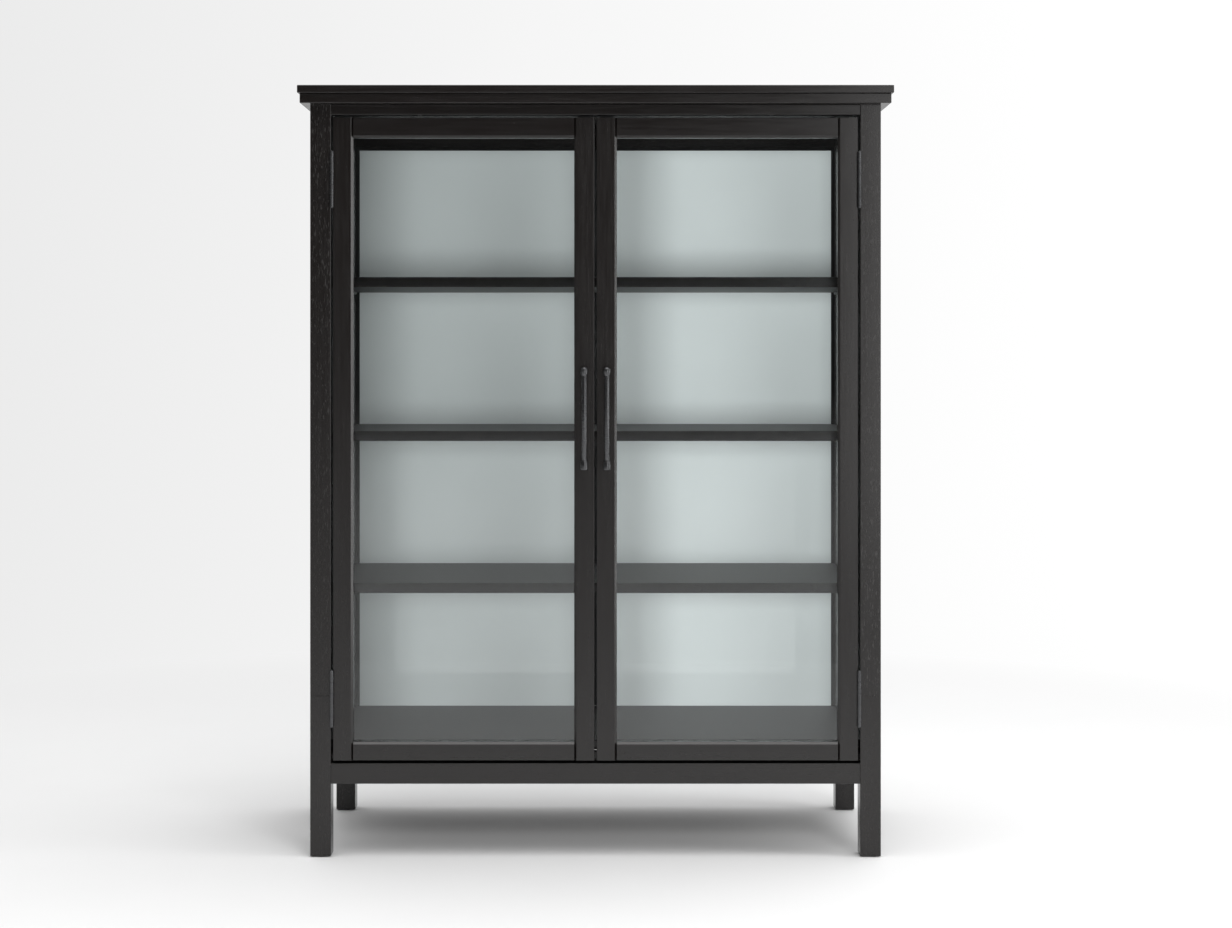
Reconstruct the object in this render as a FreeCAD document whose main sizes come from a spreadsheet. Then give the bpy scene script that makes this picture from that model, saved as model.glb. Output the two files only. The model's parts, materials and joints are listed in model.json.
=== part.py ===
import FreeCAD, Part
import os
import re

import Sketcher

# A free-standing china cabinet with two framed glass doors, in stained wood, in millimetres.
# +X is to the right, +Y to the back and +Z up. The origin is on the floor, in the middle of the
# cabinet from side to side and from the front of the handles to the back of the posts.
# The right half is built, and the left half mirrors it.

SIZES = {
    # the whole cabinet
    "total_height": 1337.0,
    "body_width": 990.0,
    "body_depth": 404.0,
    # the stepped top
    "top_board_thickness": 13.5,
    "under_board_thickness": 17.2,
    "under_board_inset": 4.0,
    "top_overhang_side": 20.0,
    "top_overhang_front": 21.0,
    # posts, and the lower legs that stand under them
    "post_size": 36.0,
    "leg_seam_height": 280.0,
    "arris": 1.2,
    "foot_chamfer": 1.8,
    "seam_chamfer": 0.6,
    "glide_thickness": 2.0,
    "glide_radius": 12.0,
    "glide_spigot_radius": 2.5,
    "glide_spigot_length": 12.0,
    # rails of the case
    "rail_underside": 127.0,
    "rail_thickness": 22.0,
    "rail_recess": 1.5,
    "front_top_rail_height": 18.3,
    "front_bottom_rail_height": 35.5,
    "back_rail_setback": 4.0,
    "back_top_rail_height": 37.3,
    "side_top_rail_height": 43.3,
    "side_rail_recess": 2.0,
    "wall_hole_radius": 3.0,
    "wall_hole_spacing": 800.0,
    # side panels and their tongues
    "side_panel_thickness": 16.0,
    "tongue_thickness": 6.0,
    "tongue_depth": 8.0,
    "groove_clearance": 0.2,
    # back panels, the strip that joins them and the beads in front of them
    "back_panel_thickness": 6.0,
    "back_rebate_depth": 11.6,
    "back_rebate_width": 8.0,
    "back_lap": 12.0,
    "back_panel_clearance": 0.5,
    "back_bead_size": 6.0,
    "strip_width": 18.0,
    "strip_thickness": 1.2,
    "strip_web": 1.5,
    # cabinet floor and shelves
    "floor_top": 196.5,
    "floor_thickness": 18.0,
    "floor_setback": 43.0,
    "floor_side_clearance": 0.5,
    "cleat_height": 32.0,
    "cleat_width": 20.0,
    "shelf_low_top": 471.0,
    "shelf_mid_top": 738.0,
    "shelf_high_top": 1008.0,
    "shelf_thickness": 18.0,
    "shelf_setback": 44.0,
    "shelf_side_clearance": 1.5,
    "shelf_back_clearance": 0.5,
    "pin_radius": 2.5,
    "pin_reach": 8.0,
    "pin_inset": 45.0,
    "pin_pitch": 32.0,
    # dowels and screws
    "dowel_radius": 4.0,
    "dowel_pitch": 18.0,
    "case_screw_radius": 2.0,
    "case_screw_head_radius": 4.0,
    "case_screw_head_height": 2.4,
    "case_screw_length": 30.0,
    "panel_screw_radius": 1.5,
    "panel_screw_head_radius": 3.5,
    "panel_screw_head_height": 2.0,
    "panel_screw_grip": 8.0,
    # doors
    "door_thickness": 20.0,
    "door_recess": 1.0,
    "door_side_gap": 3.5,
    "door_middle_gap": 4.0,
    "door_end_gap": 5.0,
    "door_back_clearance": 3.5,
    "stile_width": 35.0,
    "door_top_rail_height": 35.0,
    "door_bottom_rail_height": 32.0,
    "door_chamfer": 4.0,
    "glass_rebate_width": 8.0,
    "glass_thickness": 4.0,
    "glass_clearance": 1.0,
    "glass_bead_depth": 7.0,
    "tenon_thickness": 7.0,
    "tenon_length": 16.0,
    "tenon_shoulder": 4.0,
    # handles
    "handle_height": 762.0,
    "handle_length": 178.0,
    "handle_spacing": 160.0,
    "handle_projection": 31.0,
    "handle_bar_radius": 4.4,
    "handle_collar_radius": 6.3,
    "handle_collar_length": 14.0,
    "handle_taper_length": 6.0,
    "handle_end_chamfer": 1.8,
    "handle_foot_radius": 4.6,
    "handle_rose_thickness": 2.5,
    "handle_screw_radius": 2.0,
    "handle_screw_head_radius": 4.0,
    "handle_screw_head_height": 2.5,
    "handle_screw_grip": 12.0,
    # hinges
    "hinge_length": 97.0,
    "hinge_inset": 107.5,
    "hinge_leaf_thickness": 1.4,
    "hinge_leaf_width": 20.0,
    "hinge_barrel_radius": 3.2,
    "hinge_stand_off": 0.3,
    "hinge_knuckle_gap": 0.2,
    "hinge_pin_radius": 1.5,
    "hinge_pin_clearance": 0.05,
    "hinge_cap_radius": 2.4,
    "hinge_cap_height": 1.5,
    "hinge_screw_radius": 1.5,
    "hinge_screw_head_radius": 2.8,
    "hinge_screw_length": 13.0,
    # magnetic catches
    "strike_width": 18.0,
    "strike_height": 14.0,
    "strike_thickness": 1.2,
    "strike_inset": 5.0,
    "catch_width": 24.0,
    "catch_thickness": 13.0,
    "catch_gap": 0.4,
}
KNUCKLES = 5

# Planes that several pieces share, as formulas of the sizes.
HALF = "(body_width / 2)"
INNER = "(body_width / 2 - post_size)"
REACH = "max(handle_projection - door_recess; top_overhang_front)"
FRONT = f"(({REACH} - body_depth) / 2)"
BACK = f"(({REACH} + body_depth) / 2)"
RAIL_BACK = f"({FRONT} + rail_recess + rail_thickness)"
PANEL_FRONT = f"({BACK} - back_rebate_depth)"
TOP_UNDER = "(total_height - top_board_thickness - under_board_thickness)"
FLOOR_UNDER = "(floor_top - floor_thickness)"
SCREW_SEAT = f"({TOP_UNDER} - front_top_rail_height)"
BACK_RAIL_UNDER = f"({TOP_UNDER} - back_top_rail_height)"
SIDE_RAIL_UNDER = f"({TOP_UNDER} - side_top_rail_height)"
PANEL_TOP = f"({BACK_RAIL_UNDER} + back_lap)"
PANEL_BOTTOM = f"({FLOOR_UNDER} - back_lap)"
BACK_RAIL = "(post_size - back_rail_setback)"
DOWEL_DEPTH = "(post_size - rail_recess - rail_thickness / 2 - 2 * dowel_radius)"
DOOR_OUT = f"({INNER} - door_side_gap)"
DOOR_IN = "(door_middle_gap / 2)"
DOOR_Y = f"({FRONT} + door_recess)"
DOOR_BACK = f"({DOOR_Y} + door_thickness)"
DOOR_BOTTOM = "(rail_underside + front_bottom_rail_height + door_end_gap)"
DOOR_TOP = f"({SCREW_SEAT} - door_end_gap)"
OPENING_BOTTOM = f"({DOOR_BOTTOM} + door_bottom_rail_height)"
OPENING_TOP = f"({DOOR_TOP} - door_top_rail_height)"
OPENING_IN = f"({DOOR_IN} + stile_width)"
OPENING_OUT = f"({DOOR_OUT} - stile_width)"
GLASS_REBATE = "(glass_thickness + glass_bead_depth)"
LIP = f"(door_thickness - {GLASS_REBATE})"
GLASS_Y = f"({DOOR_Y} + {LIP})"
HINGE_X = f"({INNER} - door_side_gap / 2)"
HINGE_Y = f"({FRONT} - hinge_barrel_radius - hinge_stand_off)"
HINGE_HEIGHTS = {
    "top": f"({DOOR_TOP} - hinge_inset)",
    "bottom": f"({DOOR_BOTTOM} + hinge_inset)",
}
LOCK_X = f"({DOOR_IN} + stile_width / 2)"
HANDLE_Y = f"({DOOR_Y} - handle_projection + handle_collar_radius)"

doc = FreeCAD.newDocument("china_cabinet")
sheet = doc.addObject("Spreadsheet::Sheet", "dims")
nodes = []


# Tools of the trade: formulas, plain pieces, and ways to put them together.

def fill_sheet():
    """Write each size and its name in the sheet."""
    for row, (name, value) in enumerate(SIZES.items(), 1):
        sheet.set(f"A{row}", name)
        sheet.set(f"B{row}", str(value))
        sheet.setAlias(f"B{row}", name)
    doc.recompute()


def sized(formula):
    """Point the size names in a formula at the sheet."""
    return re.sub(r"[a-z]\w*", lambda word: "dims." + word[0] if word[0] in SIZES else word[0], formula)


def number(formula):
    """The present value of a formula."""
    return float(sheet.evalExpression(sized(formula)))


def place(piece, corner):
    """Bind where a piece stands."""
    for axis, formula in zip("xyz", corner):
        piece.setExpression(f"Placement.Base.{axis}", sized(formula))


def box(name, x, y, z):
    """A rectangular piece between three pairs of planes."""
    piece = doc.addObject("Part::Box", name)
    for side, (low, high) in zip(("Length", "Width", "Height"), (x, y, z)):
        piece.setExpression(side, sized(f"({high}) - ({low})"))
    place(piece, (x[0], y[0], z[0]))
    return piece


HEADINGS = {
    "x": FreeCAD.Rotation(FreeCAD.Vector(0, 1, 0), 90),
    "-x": FreeCAD.Rotation(FreeCAD.Vector(0, 1, 0), -90),
    "y": FreeCAD.Rotation(FreeCAD.Vector(1, 0, 0), -90),
    "-y": FreeCAD.Rotation(FreeCAD.Vector(1, 0, 0), 90),
    "z": FreeCAD.Rotation(),
}


def rod(name, radius, length, start, heading):
    """A round bar from a start point along a heading."""
    piece = doc.addObject("Part::Cylinder", name)
    piece.setExpression("Radius", sized(radius))
    piece.setExpression("Height", sized(length))
    piece.Placement = FreeCAD.Placement(FreeCAD.Vector(), HEADINGS[heading])
    place(piece, start)
    return piece


def cone(name, start_radius, end_radius, length, start, heading):
    """A tapered round piece from a start point along a heading."""
    piece = doc.addObject("Part::Cone", name)
    piece.setExpression("Radius1", sized(start_radius))
    piece.setExpression("Radius2", sized(end_radius))
    piece.setExpression("Height", sized(length))
    piece.Placement = FreeCAD.Placement(FreeCAD.Vector(), HEADINGS[heading])
    place(piece, start)
    return piece


def draw_outline(sketch, outline):
    """Draw a closed outline, each corner dimensioned from the sketch's origin by its formulas."""
    corners = [FreeCAD.Vector(number(across), number(up), 0) for across, up in outline]
    count = len(corners)
    for index in range(count):
        line = Part.LineSegment(corners[index], corners[(index + 1) % count])
        sketch.addGeometry(line, False)
    for index in range(count):
        sketch.addConstraint(Sketcher.Constraint("Coincident", index, 2, (index + 1) % count, 1))
    for index, formulas in enumerate(outline):
        for kind, other_axis, formula, value in zip(
                ("DistanceX", "DistanceY"), (-2, -1), formulas, corners[index]):
            if formula == "0":
                sketch.addConstraint(Sketcher.Constraint("PointOnObject", index, 1, other_axis))
            else:
                held = sketch.addConstraint(Sketcher.Constraint(kind, -1, 1, index, 1, value))
                sketch.setExpression(f"Constraints[{held}]", sized(formula))


def sketched_body(name, plane_role, outline, corner):
    """A body with one outline on one of its own origin planes."""
    body = doc.addObject("PartDesign::Body", name)
    sketch = body.newObject("Sketcher::SketchObject", name + "_outline")
    plane = next(item for item in body.Origin.OriginFeatures if item.Role == plane_role)
    sketch.AttachmentSupport = (plane, [""])
    sketch.MapMode = "FlatFace"
    draw_outline(sketch, outline)
    place(body, corner)
    return body, sketch


PLANES = {"x": "YZ_Plane", "y": "XZ_Plane", "z": "XY_Plane"}


def prism(name, along, outline, length, corner):
    """A body padded along one axis from an outline that is measured from its corner."""
    body, sketch = sketched_body(name, PLANES[along], outline, corner)
    pad = body.newObject("PartDesign::Pad", name + "_pad")
    pad.Profile = sketch
    pad.Reversed = along == "y"
    pad.setExpression("Length", sized(length))
    return body


def turned(name, outline, foot):
    """A body turned about its upright axis from half an outline."""
    body, sketch = sketched_body(name, "XZ_Plane", outline, foot)
    turn = body.newObject("PartDesign::Revolution", name + "_turn")
    turn.Profile = sketch
    turn.ReferenceAxis = (sketch, ["V_Axis"])
    turn.Angle = 360
    return body


def eased(width, height, ease="arris"):
    """A rectangular outline whose four corners are cut off."""
    return [
        (ease, "0"), (f"{width} - {ease}", "0"), (width, ease), (width, f"{height} - {ease}"),
        (f"{width} - {ease}", height), (ease, height), ("0", f"{height} - {ease}"), ("0", ease),
    ]


def chamfer_end(body, end, size):
    """Break the edges round the top or the bottom face of a padded body."""
    doc.recompute()
    solid = body.Tip
    levels = [face.CenterOfMass.z for face in solid.Shape.Faces]
    level = max(levels) if end == "top" else min(levels)
    chamfer = body.newObject("PartDesign::Chamfer", f"{body.Name}_{end}_edges")
    chamfer.Base = (solid, [f"Face{levels.index(level) + 1}"])
    chamfer.setExpression("Size", sized(size))


def fuse(name, pieces):
    """One solid from touching pieces."""
    whole = doc.addObject("Part::MultiFuse", name)
    whole.Shapes = pieces
    return whole


def group(name, pieces):
    """Separate solids kept together."""
    whole = doc.addObject("Part::Compound", name)
    whole.Links = pieces
    return whole


def cut(name, piece, tools):
    """A piece less the room that other pieces take in it."""
    whole = doc.addObject("Part::Cut", name)
    whole.Base = piece
    whole.Tool = tools[0] if len(tools) == 1 else group(name + "_room", tools)
    return whole


def mirrored(name, piece):
    """The left-hand copy of a right-hand piece."""
    copy = doc.addObject("Part::Mirroring", name)
    copy.Source = piece
    copy.Normal = FreeCAD.Vector(1, 0, 0)
    return copy


def node(piece):
    """Keep a finished piece under its own name."""
    nodes.append(piece)
    return piece


def pair(piece):
    """Keep a finished right-hand piece and its left-hand copy."""
    node(piece)
    node(mirrored(piece.Name.replace("_right", "_left"), piece))


def both_sides(name, pieces):
    """Right-hand solids and their left-hand copies, kept as one node."""
    right = group(name + "_right_side", pieces)
    return node(group(name, [right, mirrored(name + "_left_side", right)]))


def countersunk_screw(name, kind, head_height, start, heading):
    """A screw with a flat countersunk head, whose top is at the start point."""
    head = cone(name + "_head", f"{kind}_head_radius", f"{kind}_radius", head_height, start, heading)
    shank = rod(name + "_shank", f"{kind}_radius", f"{kind}_length", start, heading)
    return fuse(name, [head, shank])


# Fasteners and fittings of the case. They come first, because the wood is cut for them.

def dowels():
    """Glued dowels: rail ends into posts, and posts onto legs."""
    front_y = f"{FRONT} + rail_recess + rail_thickness / 2"
    back_y = f"{BACK} - {BACK_RAIL} / 2"
    front_low_z = "rail_underside + front_bottom_rail_height / 2"
    back_low_z = f"(rail_underside + {PANEL_BOTTOM}) / 2"
    cross_places = [
        (front_y, f"{TOP_UNDER} - front_top_rail_height / 2"),
        (front_y, f"{front_low_z} - dowel_pitch / 2"),
        (front_y, f"{front_low_z} + dowel_pitch / 2"),
        (back_y, f"({PANEL_TOP} + {TOP_UNDER}) / 2"),
        (back_y, f"{back_low_z} - dowel_pitch / 2"),
        (back_y, f"{back_low_z} + dowel_pitch / 2"),
    ]
    length = f"2 * {DOWEL_DEPTH}"
    made = []
    for index, (y, z) in enumerate(cross_places):
        start = (f"{INNER} - {DOWEL_DEPTH}", y, z)
        made.append(rod(f"cross_dowel_{index}", "dowel_radius", length, start, "x"))
    side_x = f"{INNER} + (post_size - side_rail_recess) / 2"
    side_middles = (f"{TOP_UNDER} - side_top_rail_height / 2", f"(rail_underside + {FLOOR_UNDER}) / 2")
    for level, middle in enumerate(side_middles):
        for end, y in enumerate((f"{FRONT} + post_size", f"{BACK} - post_size")):
            for row, shift in enumerate(("- dowel_pitch / 2", "+ dowel_pitch / 2")):
                start = (side_x, f"{y} - {DOWEL_DEPTH}", f"{middle} {shift}")
                name = f"side_dowel_{level}_{end}_{row}"
                made.append(rod(name, "dowel_radius", length, start, "y"))
    leg_z = f"leg_seam_height - {DOWEL_DEPTH}"
    for end, y in enumerate((f"{FRONT} + post_size / 3", f"{BACK} - post_size / 3")):
        start = (f"{HALF} - post_size / 3", y, leg_z)
        made.append(rod(f"leg_dowel_{end}", "dowel_radius", length, start, "z"))
    return both_sides("dowels", made)


def case_screws():
    """Screws up through the top rails into the top, and through the floor cleats into the rails."""
    third = f"{INNER} * 2 / 3"
    front_y = f"{FRONT} + rail_recess + rail_thickness / 2"
    back_y = f"{BACK} - {BACK_RAIL} + 2.5 * case_screw_head_radius"
    cleat_z = "rail_underside + front_bottom_rail_height - 2 * case_screw_head_radius"
    side_z = f"{FLOOR_UNDER} - cleat_height / 2"
    places = []
    for x in (f"-({third})", "0", third):
        places.append(((x, front_y, SCREW_SEAT), "z"))
        places.append(((x, back_y, SCREW_SEAT), "z"))
        places.append(((x, f"{FRONT} + floor_setback", cleat_z), "-y"))
    for side, heading in (("", "x"), ("-", "-x")):
        rail_x = f"{side}({INNER} + (post_size - side_rail_recess) / 2)"
        places.append(((rail_x, f"({FRONT} + {BACK}) / 2", SCREW_SEAT), "z"))
        for y in (f"{FRONT} + 3 * post_size", f"{BACK} - 3 * post_size"):
            places.append(((f"{side}({INNER} - cleat_width)", y, side_z), heading))
    made = []
    for index, (start, heading) in enumerate(places):
        name = f"case_screw_{index}"
        made.append(countersunk_screw(name, "case_screw", "case_screw_head_height", start, heading))
    return node(group("case_screws", made))


def screw_wells():
    """The deep holes that let the top screws reach through the tall rails."""
    third = f"{INNER} * 2 / 3"
    back_y = f"{BACK} - {BACK_RAIL} + 2.5 * case_screw_head_radius"
    rail_x = f"({INNER} + (post_size - side_rail_recess) / 2)"
    middle_y = f"({FRONT} + {BACK}) / 2"
    places = [(x, back_y, BACK_RAIL_UNDER) for x in (f"-({third})", "0", third)]
    places += [(x, middle_y, SIDE_RAIL_UNDER) for x in (rail_x, f"-{rail_x}")]
    made = []
    for index, start in enumerate(places):
        depth = f"{SCREW_SEAT} - {start[2]}"
        made.append(rod(f"screw_well_{index}", "case_screw_head_radius", depth, start, "z"))
    return group("screw_wells", made)


def back_panel_screws():
    """Small round-headed screws that hold the back panels in their rebate."""
    edge_x = f"{INNER} + back_rebate_width / 2"
    span = f"({PANEL_TOP} - {PANEL_BOTTOM})"
    places = [(edge_x, f"{PANEL_BOTTOM} + {span} * {step} / 8") for step in (1, 3, 5, 7)]
    for z in (f"{PANEL_TOP} - back_lap / 2", f"{PANEL_BOTTOM} + back_lap / 2"):
        places += [(f"{INNER} * {step} / 8", z) for step in (1, 4, 7)]
    face_y = f"({PANEL_FRONT} + back_panel_thickness)"
    made = []
    for index, (x, z) in enumerate(places):
        name = f"back_screw_{index}"
        head = rod(name + "_head", "panel_screw_head_radius", "panel_screw_head_height", (x, face_y, z), "y")
        grip = "back_panel_thickness + panel_screw_grip"
        shank = rod(name + "_shank", "panel_screw_radius", grip, (x, face_y, z), "-y")
        made.append(fuse(name, [head, shank]))
    return both_sides("back_panel_screws", made)


def foot_glides():
    """A nail-on glide under each leg."""
    x = f"{INNER} + post_size / 2"
    made = []
    for end, y in (("front", f"{FRONT} + post_size / 2"), ("back", f"{BACK} - post_size / 2")):
        disc = rod(f"glide_disc_{end}", "glide_radius", "glide_thickness", (x, y, "0"), "z")
        height = "glide_thickness + glide_spigot_length"
        spigot = rod(f"glide_spigot_{end}", "glide_spigot_radius", height, (x, y, "0"), "z")
        made.append(fuse(f"glide_{end}", [disc, spigot]))
    return both_sides("foot_glides", made)


def shelf_pin_places():
    """Where the shelf pins stand: how far back, and how high."""
    for shelf in ("low", "mid", "high"):
        for y in (f"{FRONT} + post_size + pin_inset", f"{BACK} - post_size - pin_inset"):
            yield y, f"shelf_{shelf}_top - shelf_thickness - pin_radius"


def shelf_pins():
    """Round pins, half in the side panel and half under the shelf."""
    made = []
    for index, (y, z) in enumerate(shelf_pin_places()):
        length = "pin_reach + side_panel_thickness / 2"
        start = (f"{INNER} - pin_reach", y, z)
        made.append(rod(f"shelf_pin_{index}", "pin_radius", length, start, "x"))
    return both_sides("shelf_pins", made)


def spare_pin_holes():
    """Holes one step above and below each pin, to move a shelf."""
    made = []
    for index, (y, z) in enumerate(shelf_pin_places()):
        for step, shift in enumerate(("- pin_pitch", "+ pin_pitch")):
            start = (INNER, y, f"{z} {shift}")
            name = f"spare_hole_{index}_{step}"
            made.append(rod(name, "pin_radius", "side_panel_thickness / 2", start, "x"))
    return group("spare_pin_holes", made)


# Hinges: two plain butt hinges on each side, in the gap between post and door.

def hinge_screws(name, x, heading):
    """Three countersunk screws for each of one side's leaves."""
    made = []
    for level, middle in HINGE_HEIGHTS.items():
        for index, shift in enumerate(("- hinge_length / 3", "", "+ hinge_length / 3")):
            start = (x, f"{FRONT} + hinge_leaf_width / 2", f"{middle} {shift}")
            screw_name = f"{name}_{level}_{index}"
            made.append(countersunk_screw(screw_name, "hinge_screw", "hinge_leaf_thickness", start, heading))
    return group(name, made)


def hinge_leaf(name, middle, plate_x, knuckles, bore, screws):
    """One leaf: a plate, and its share of the knuckles joined to it by short necks."""
    bottom = f"({middle} - hinge_length / 2)"
    knuckle_length = f"((hinge_length - {KNUCKLES - 1} * hinge_knuckle_gap) / {KNUCKLES})"
    plate_y = (FRONT, f"{FRONT} + hinge_leaf_width")
    parts = [box(name + "_plate", plate_x, plate_y, (bottom, f"{bottom} + hinge_length"))]
    for index in knuckles:
        low = f"({bottom} + {index} * ({knuckle_length} + hinge_knuckle_gap))"
        high = f"{low} + {knuckle_length}"
        axis_foot = (HINGE_X, HINGE_Y, low)
        parts.append(rod(f"{name}_knuckle_{index}", "hinge_barrel_radius", knuckle_length, axis_foot, "z"))
        parts.append(box(f"{name}_neck_{index}", plate_x, (HINGE_Y, FRONT), (low, high)))
    hole = rod(name + "_bore", bore, "hinge_length", (HINGE_X, HINGE_Y, bottom), "z")
    return cut(name, fuse(name + "_blank", parts), [hole, screws])


def post_hinge_leaves(screws):
    """The leaves on the posts, with the outer and middle knuckles, tight on the pin."""
    plate_x = (f"{INNER} - hinge_leaf_thickness", INNER)
    made = []
    for level, middle in HINGE_HEIGHTS.items():
        name = f"post_leaf_{level}"
        made.append(hinge_leaf(name, middle, plate_x, range(0, KNUCKLES, 2), "hinge_pin_radius", screws))
    return both_sides("post_hinge_leaves", made)


def hinge_pins():
    """The pins, with a small cap at each end."""
    made = []
    for level, middle in HINGE_HEIGHTS.items():
        bottom = f"({middle} - hinge_length / 2)"
        foot = (HINGE_X, HINGE_Y, bottom)
        below = (HINGE_X, HINGE_Y, f"{bottom} - hinge_cap_height")
        above = (HINGE_X, HINGE_Y, f"{bottom} + hinge_length")
        parts = [
            rod(f"pin_shank_{level}", "hinge_pin_radius", "hinge_length", foot, "z"),
            rod(f"pin_foot_{level}", "hinge_cap_radius", "hinge_cap_height", below, "z"),
            rod(f"pin_head_{level}", "hinge_cap_radius", "hinge_cap_height", above, "z"),
        ]
        made.append(fuse(f"pin_{level}", parts))
    return both_sides("hinge_pins", made)


# The case.

def top():
    """The top board, and the slightly smaller board under it that makes the step."""
    width = "body_width + 2 * top_overhang_side"
    depth = "body_depth + top_overhang_front"
    corner = (f"-({HALF} + top_overhang_side)", f"{FRONT} - top_overhang_front",
              "total_height - top_board_thickness")
    node(prism("top_board", "x", eased(depth, "top_board_thickness"), width, corner))
    inset = "under_board_inset"
    corner = (f"{inset} - {HALF} - top_overhang_side", f"{FRONT} - top_overhang_front + {inset}", TOP_UNDER)
    outline = eased(f"{depth} - {inset}", "under_board_thickness")
    blank = prism("under_board_blank", "x", outline, f"{width} - 2 * {inset}", corner)
    node(cut("under_board", blank, [doc.case_screws]))


def posts_and_legs(tools):
    """Square posts on square legs, with a fine groove at the seam between them."""
    for end, y in (("front", FRONT), ("back", f"{BACK} - post_size")):
        section = eased("post_size", "post_size")
        height = f"{TOP_UNDER} - leg_seam_height"
        post = prism(f"post_{end}_blank", "z", section, height, (INNER, y, "leg_seam_height"))
        chamfer_end(post, "bottom", "seam_chamfer")
        pair(cut(f"post_{end}_right", post, tools))
        leg_height = "leg_seam_height - glide_thickness"
        leg = prism(f"leg_{end}_blank", "z", section, leg_height, (INNER, y, "glide_thickness"))
        chamfer_end(leg, "bottom", "foot_chamfer")
        chamfer_end(leg, "top", "seam_chamfer")
        pair(cut(f"leg_{end}_right", leg, tools))


def case_rails(tools):
    """Front, back and side rails between the posts."""
    across = f"2 * {INNER}"
    front_y = f"{FRONT} + rail_recess"
    back_y = f"{BACK} - {BACK_RAIL}"
    low_height = f"({FLOOR_UNDER} - rail_underside)"
    cross_rails = (
        ("front_top_rail", "rail_thickness", "front_top_rail_height", front_y, SCREW_SEAT),
        ("front_bottom_rail", "rail_thickness", "front_bottom_rail_height", front_y, "rail_underside"),
        ("back_top_rail", BACK_RAIL, "back_top_rail_height", back_y, BACK_RAIL_UNDER),
        ("back_bottom_rail", BACK_RAIL, low_height, back_y, "rail_underside"),
    )
    for name, thickness, height, y, z in cross_rails:
        blank = prism(name + "_blank", "x", eased(thickness, height), across, (f"-{INNER}", y, z))
        node(cut(name, blank, tools))
    thickness = "(post_size - side_rail_recess)"
    length = "body_depth - 2 * post_size"
    side_rails = (
        ("side_top_rail_right", "side_top_rail_height", SIDE_RAIL_UNDER),
        ("side_bottom_rail_right", low_height, "rail_underside"),
    )
    for name, height, z in side_rails:
        corner = (INNER, f"{FRONT} + post_size", z)
        blank = prism(name + "_blank", "y", eased(thickness, height), length, corner)
        pair(cut(name, blank, tools))


def wall_holes():
    """Two holes through the back top rail, for screws into a wall."""
    z = f"({PANEL_TOP} + {TOP_UNDER}) / 2"
    start_y = f"{BACK} - {BACK_RAIL}"
    places = (("left", "-wall_hole_spacing / 2"), ("right", "wall_hole_spacing / 2"))
    made = []
    for side, x in places:
        name = f"wall_hole_{side}"
        made.append(rod(name, "wall_hole_radius", BACK_RAIL, (x, start_y, z), "y"))
    return group("wall_holes", made)


def side_panel_space(name, extra):
    """The side panel's tongue all round, grown by a clearance."""
    slack = f"(tongue_depth + {extra})"
    near = f"({INNER} + (side_panel_thickness - tongue_thickness) / 2)"
    x = (f"{near} - {extra}", f"{near} + tongue_thickness + {extra}")
    y = (f"{FRONT} + post_size - {slack}", f"{BACK} - post_size + {slack}")
    z = (f"{FLOOR_UNDER} - {slack}", f"{SIDE_RAIL_UNDER} + {slack}")
    return box(name, x, y, z)


def side_panels(tools):
    """Panels flush with the inside of the posts, tongued into posts and rails."""
    x = (INNER, f"{INNER} + side_panel_thickness")
    y = (f"{FRONT} + post_size", f"{BACK} - post_size")
    board = box("side_panel_board", x, y, (FLOOR_UNDER, SIDE_RAIL_UNDER))
    blank = fuse("side_panel_blank", [board, side_panel_space("side_panel_tongue", "0")])
    pair(cut("side_panel_right", blank, tools))


def back_rebate():
    """The recess in the back of posts, legs and rails that takes the back panels."""
    reach = f"({INNER} + back_rebate_width)"
    return box("back_rebate", (f"-{reach}", reach), (PANEL_FRONT, BACK), (PANEL_BOTTOM, PANEL_TOP))


def back_panels():
    """Two panels, the strip that joins them, and the mitred beads in front of them."""
    x = ("strip_web / 2 + back_panel_clearance", f"{INNER} + back_rebate_width - back_panel_clearance")
    y = (PANEL_FRONT, f"{PANEL_FRONT} + back_panel_thickness")
    z = (f"{PANEL_BOTTOM} + back_panel_clearance", f"{PANEL_TOP} - back_panel_clearance")
    panel = box("back_panel_board", x, y, z)
    pair(cut("back_panel_right", panel, [doc.back_panel_screws]))

    bead_under = f"({BACK_RAIL_UNDER} - back_bead_size)"
    thin = "strip_thickness"
    far = f"({thin} + back_panel_thickness)"
    web_low = "((strip_width - strip_web) / 2)"
    web_high = "((strip_width + strip_web) / 2)"
    outline = [
        ("0", "0"), ("strip_width", "0"), ("strip_width", thin), (web_high, thin), (web_high, far),
        ("strip_width", far), ("strip_width", f"{far} + {thin}"), ("0", f"{far} + {thin}"),
        ("0", far), (web_low, far), (web_low, thin), ("0", thin),
    ]
    corner = ("-strip_width / 2", f"{PANEL_FRONT} - {thin}", "floor_top")
    node(prism("back_joint_strip", "z", outline, f"{bead_under} - floor_top", corner))

    bead = "back_bead_size"
    bead_y = f"{PANEL_FRONT} - {bead}"
    rise = f"({bead_under} - floor_top)"
    upright_outline = [("0", "0"), (bead, "0"), (bead, f"{rise} + {bead}"), ("0", rise)]
    upright_corner = (f"{INNER} - {bead}", bead_y, "floor_top")
    upright = prism("back_bead_upright", "y", upright_outline, bead, upright_corner)
    across = f"(2 * {INNER})"
    head_outline = [(bead, "0"), (f"{across} - {bead}", "0"), (across, bead), ("0", bead)]
    head = prism("back_bead_head", "y", head_outline, bead, (f"-{INNER}", bead_y, bead_under))
    node(group("back_beads", [upright, mirrored("back_bead_upright_left", upright), head]))


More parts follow.
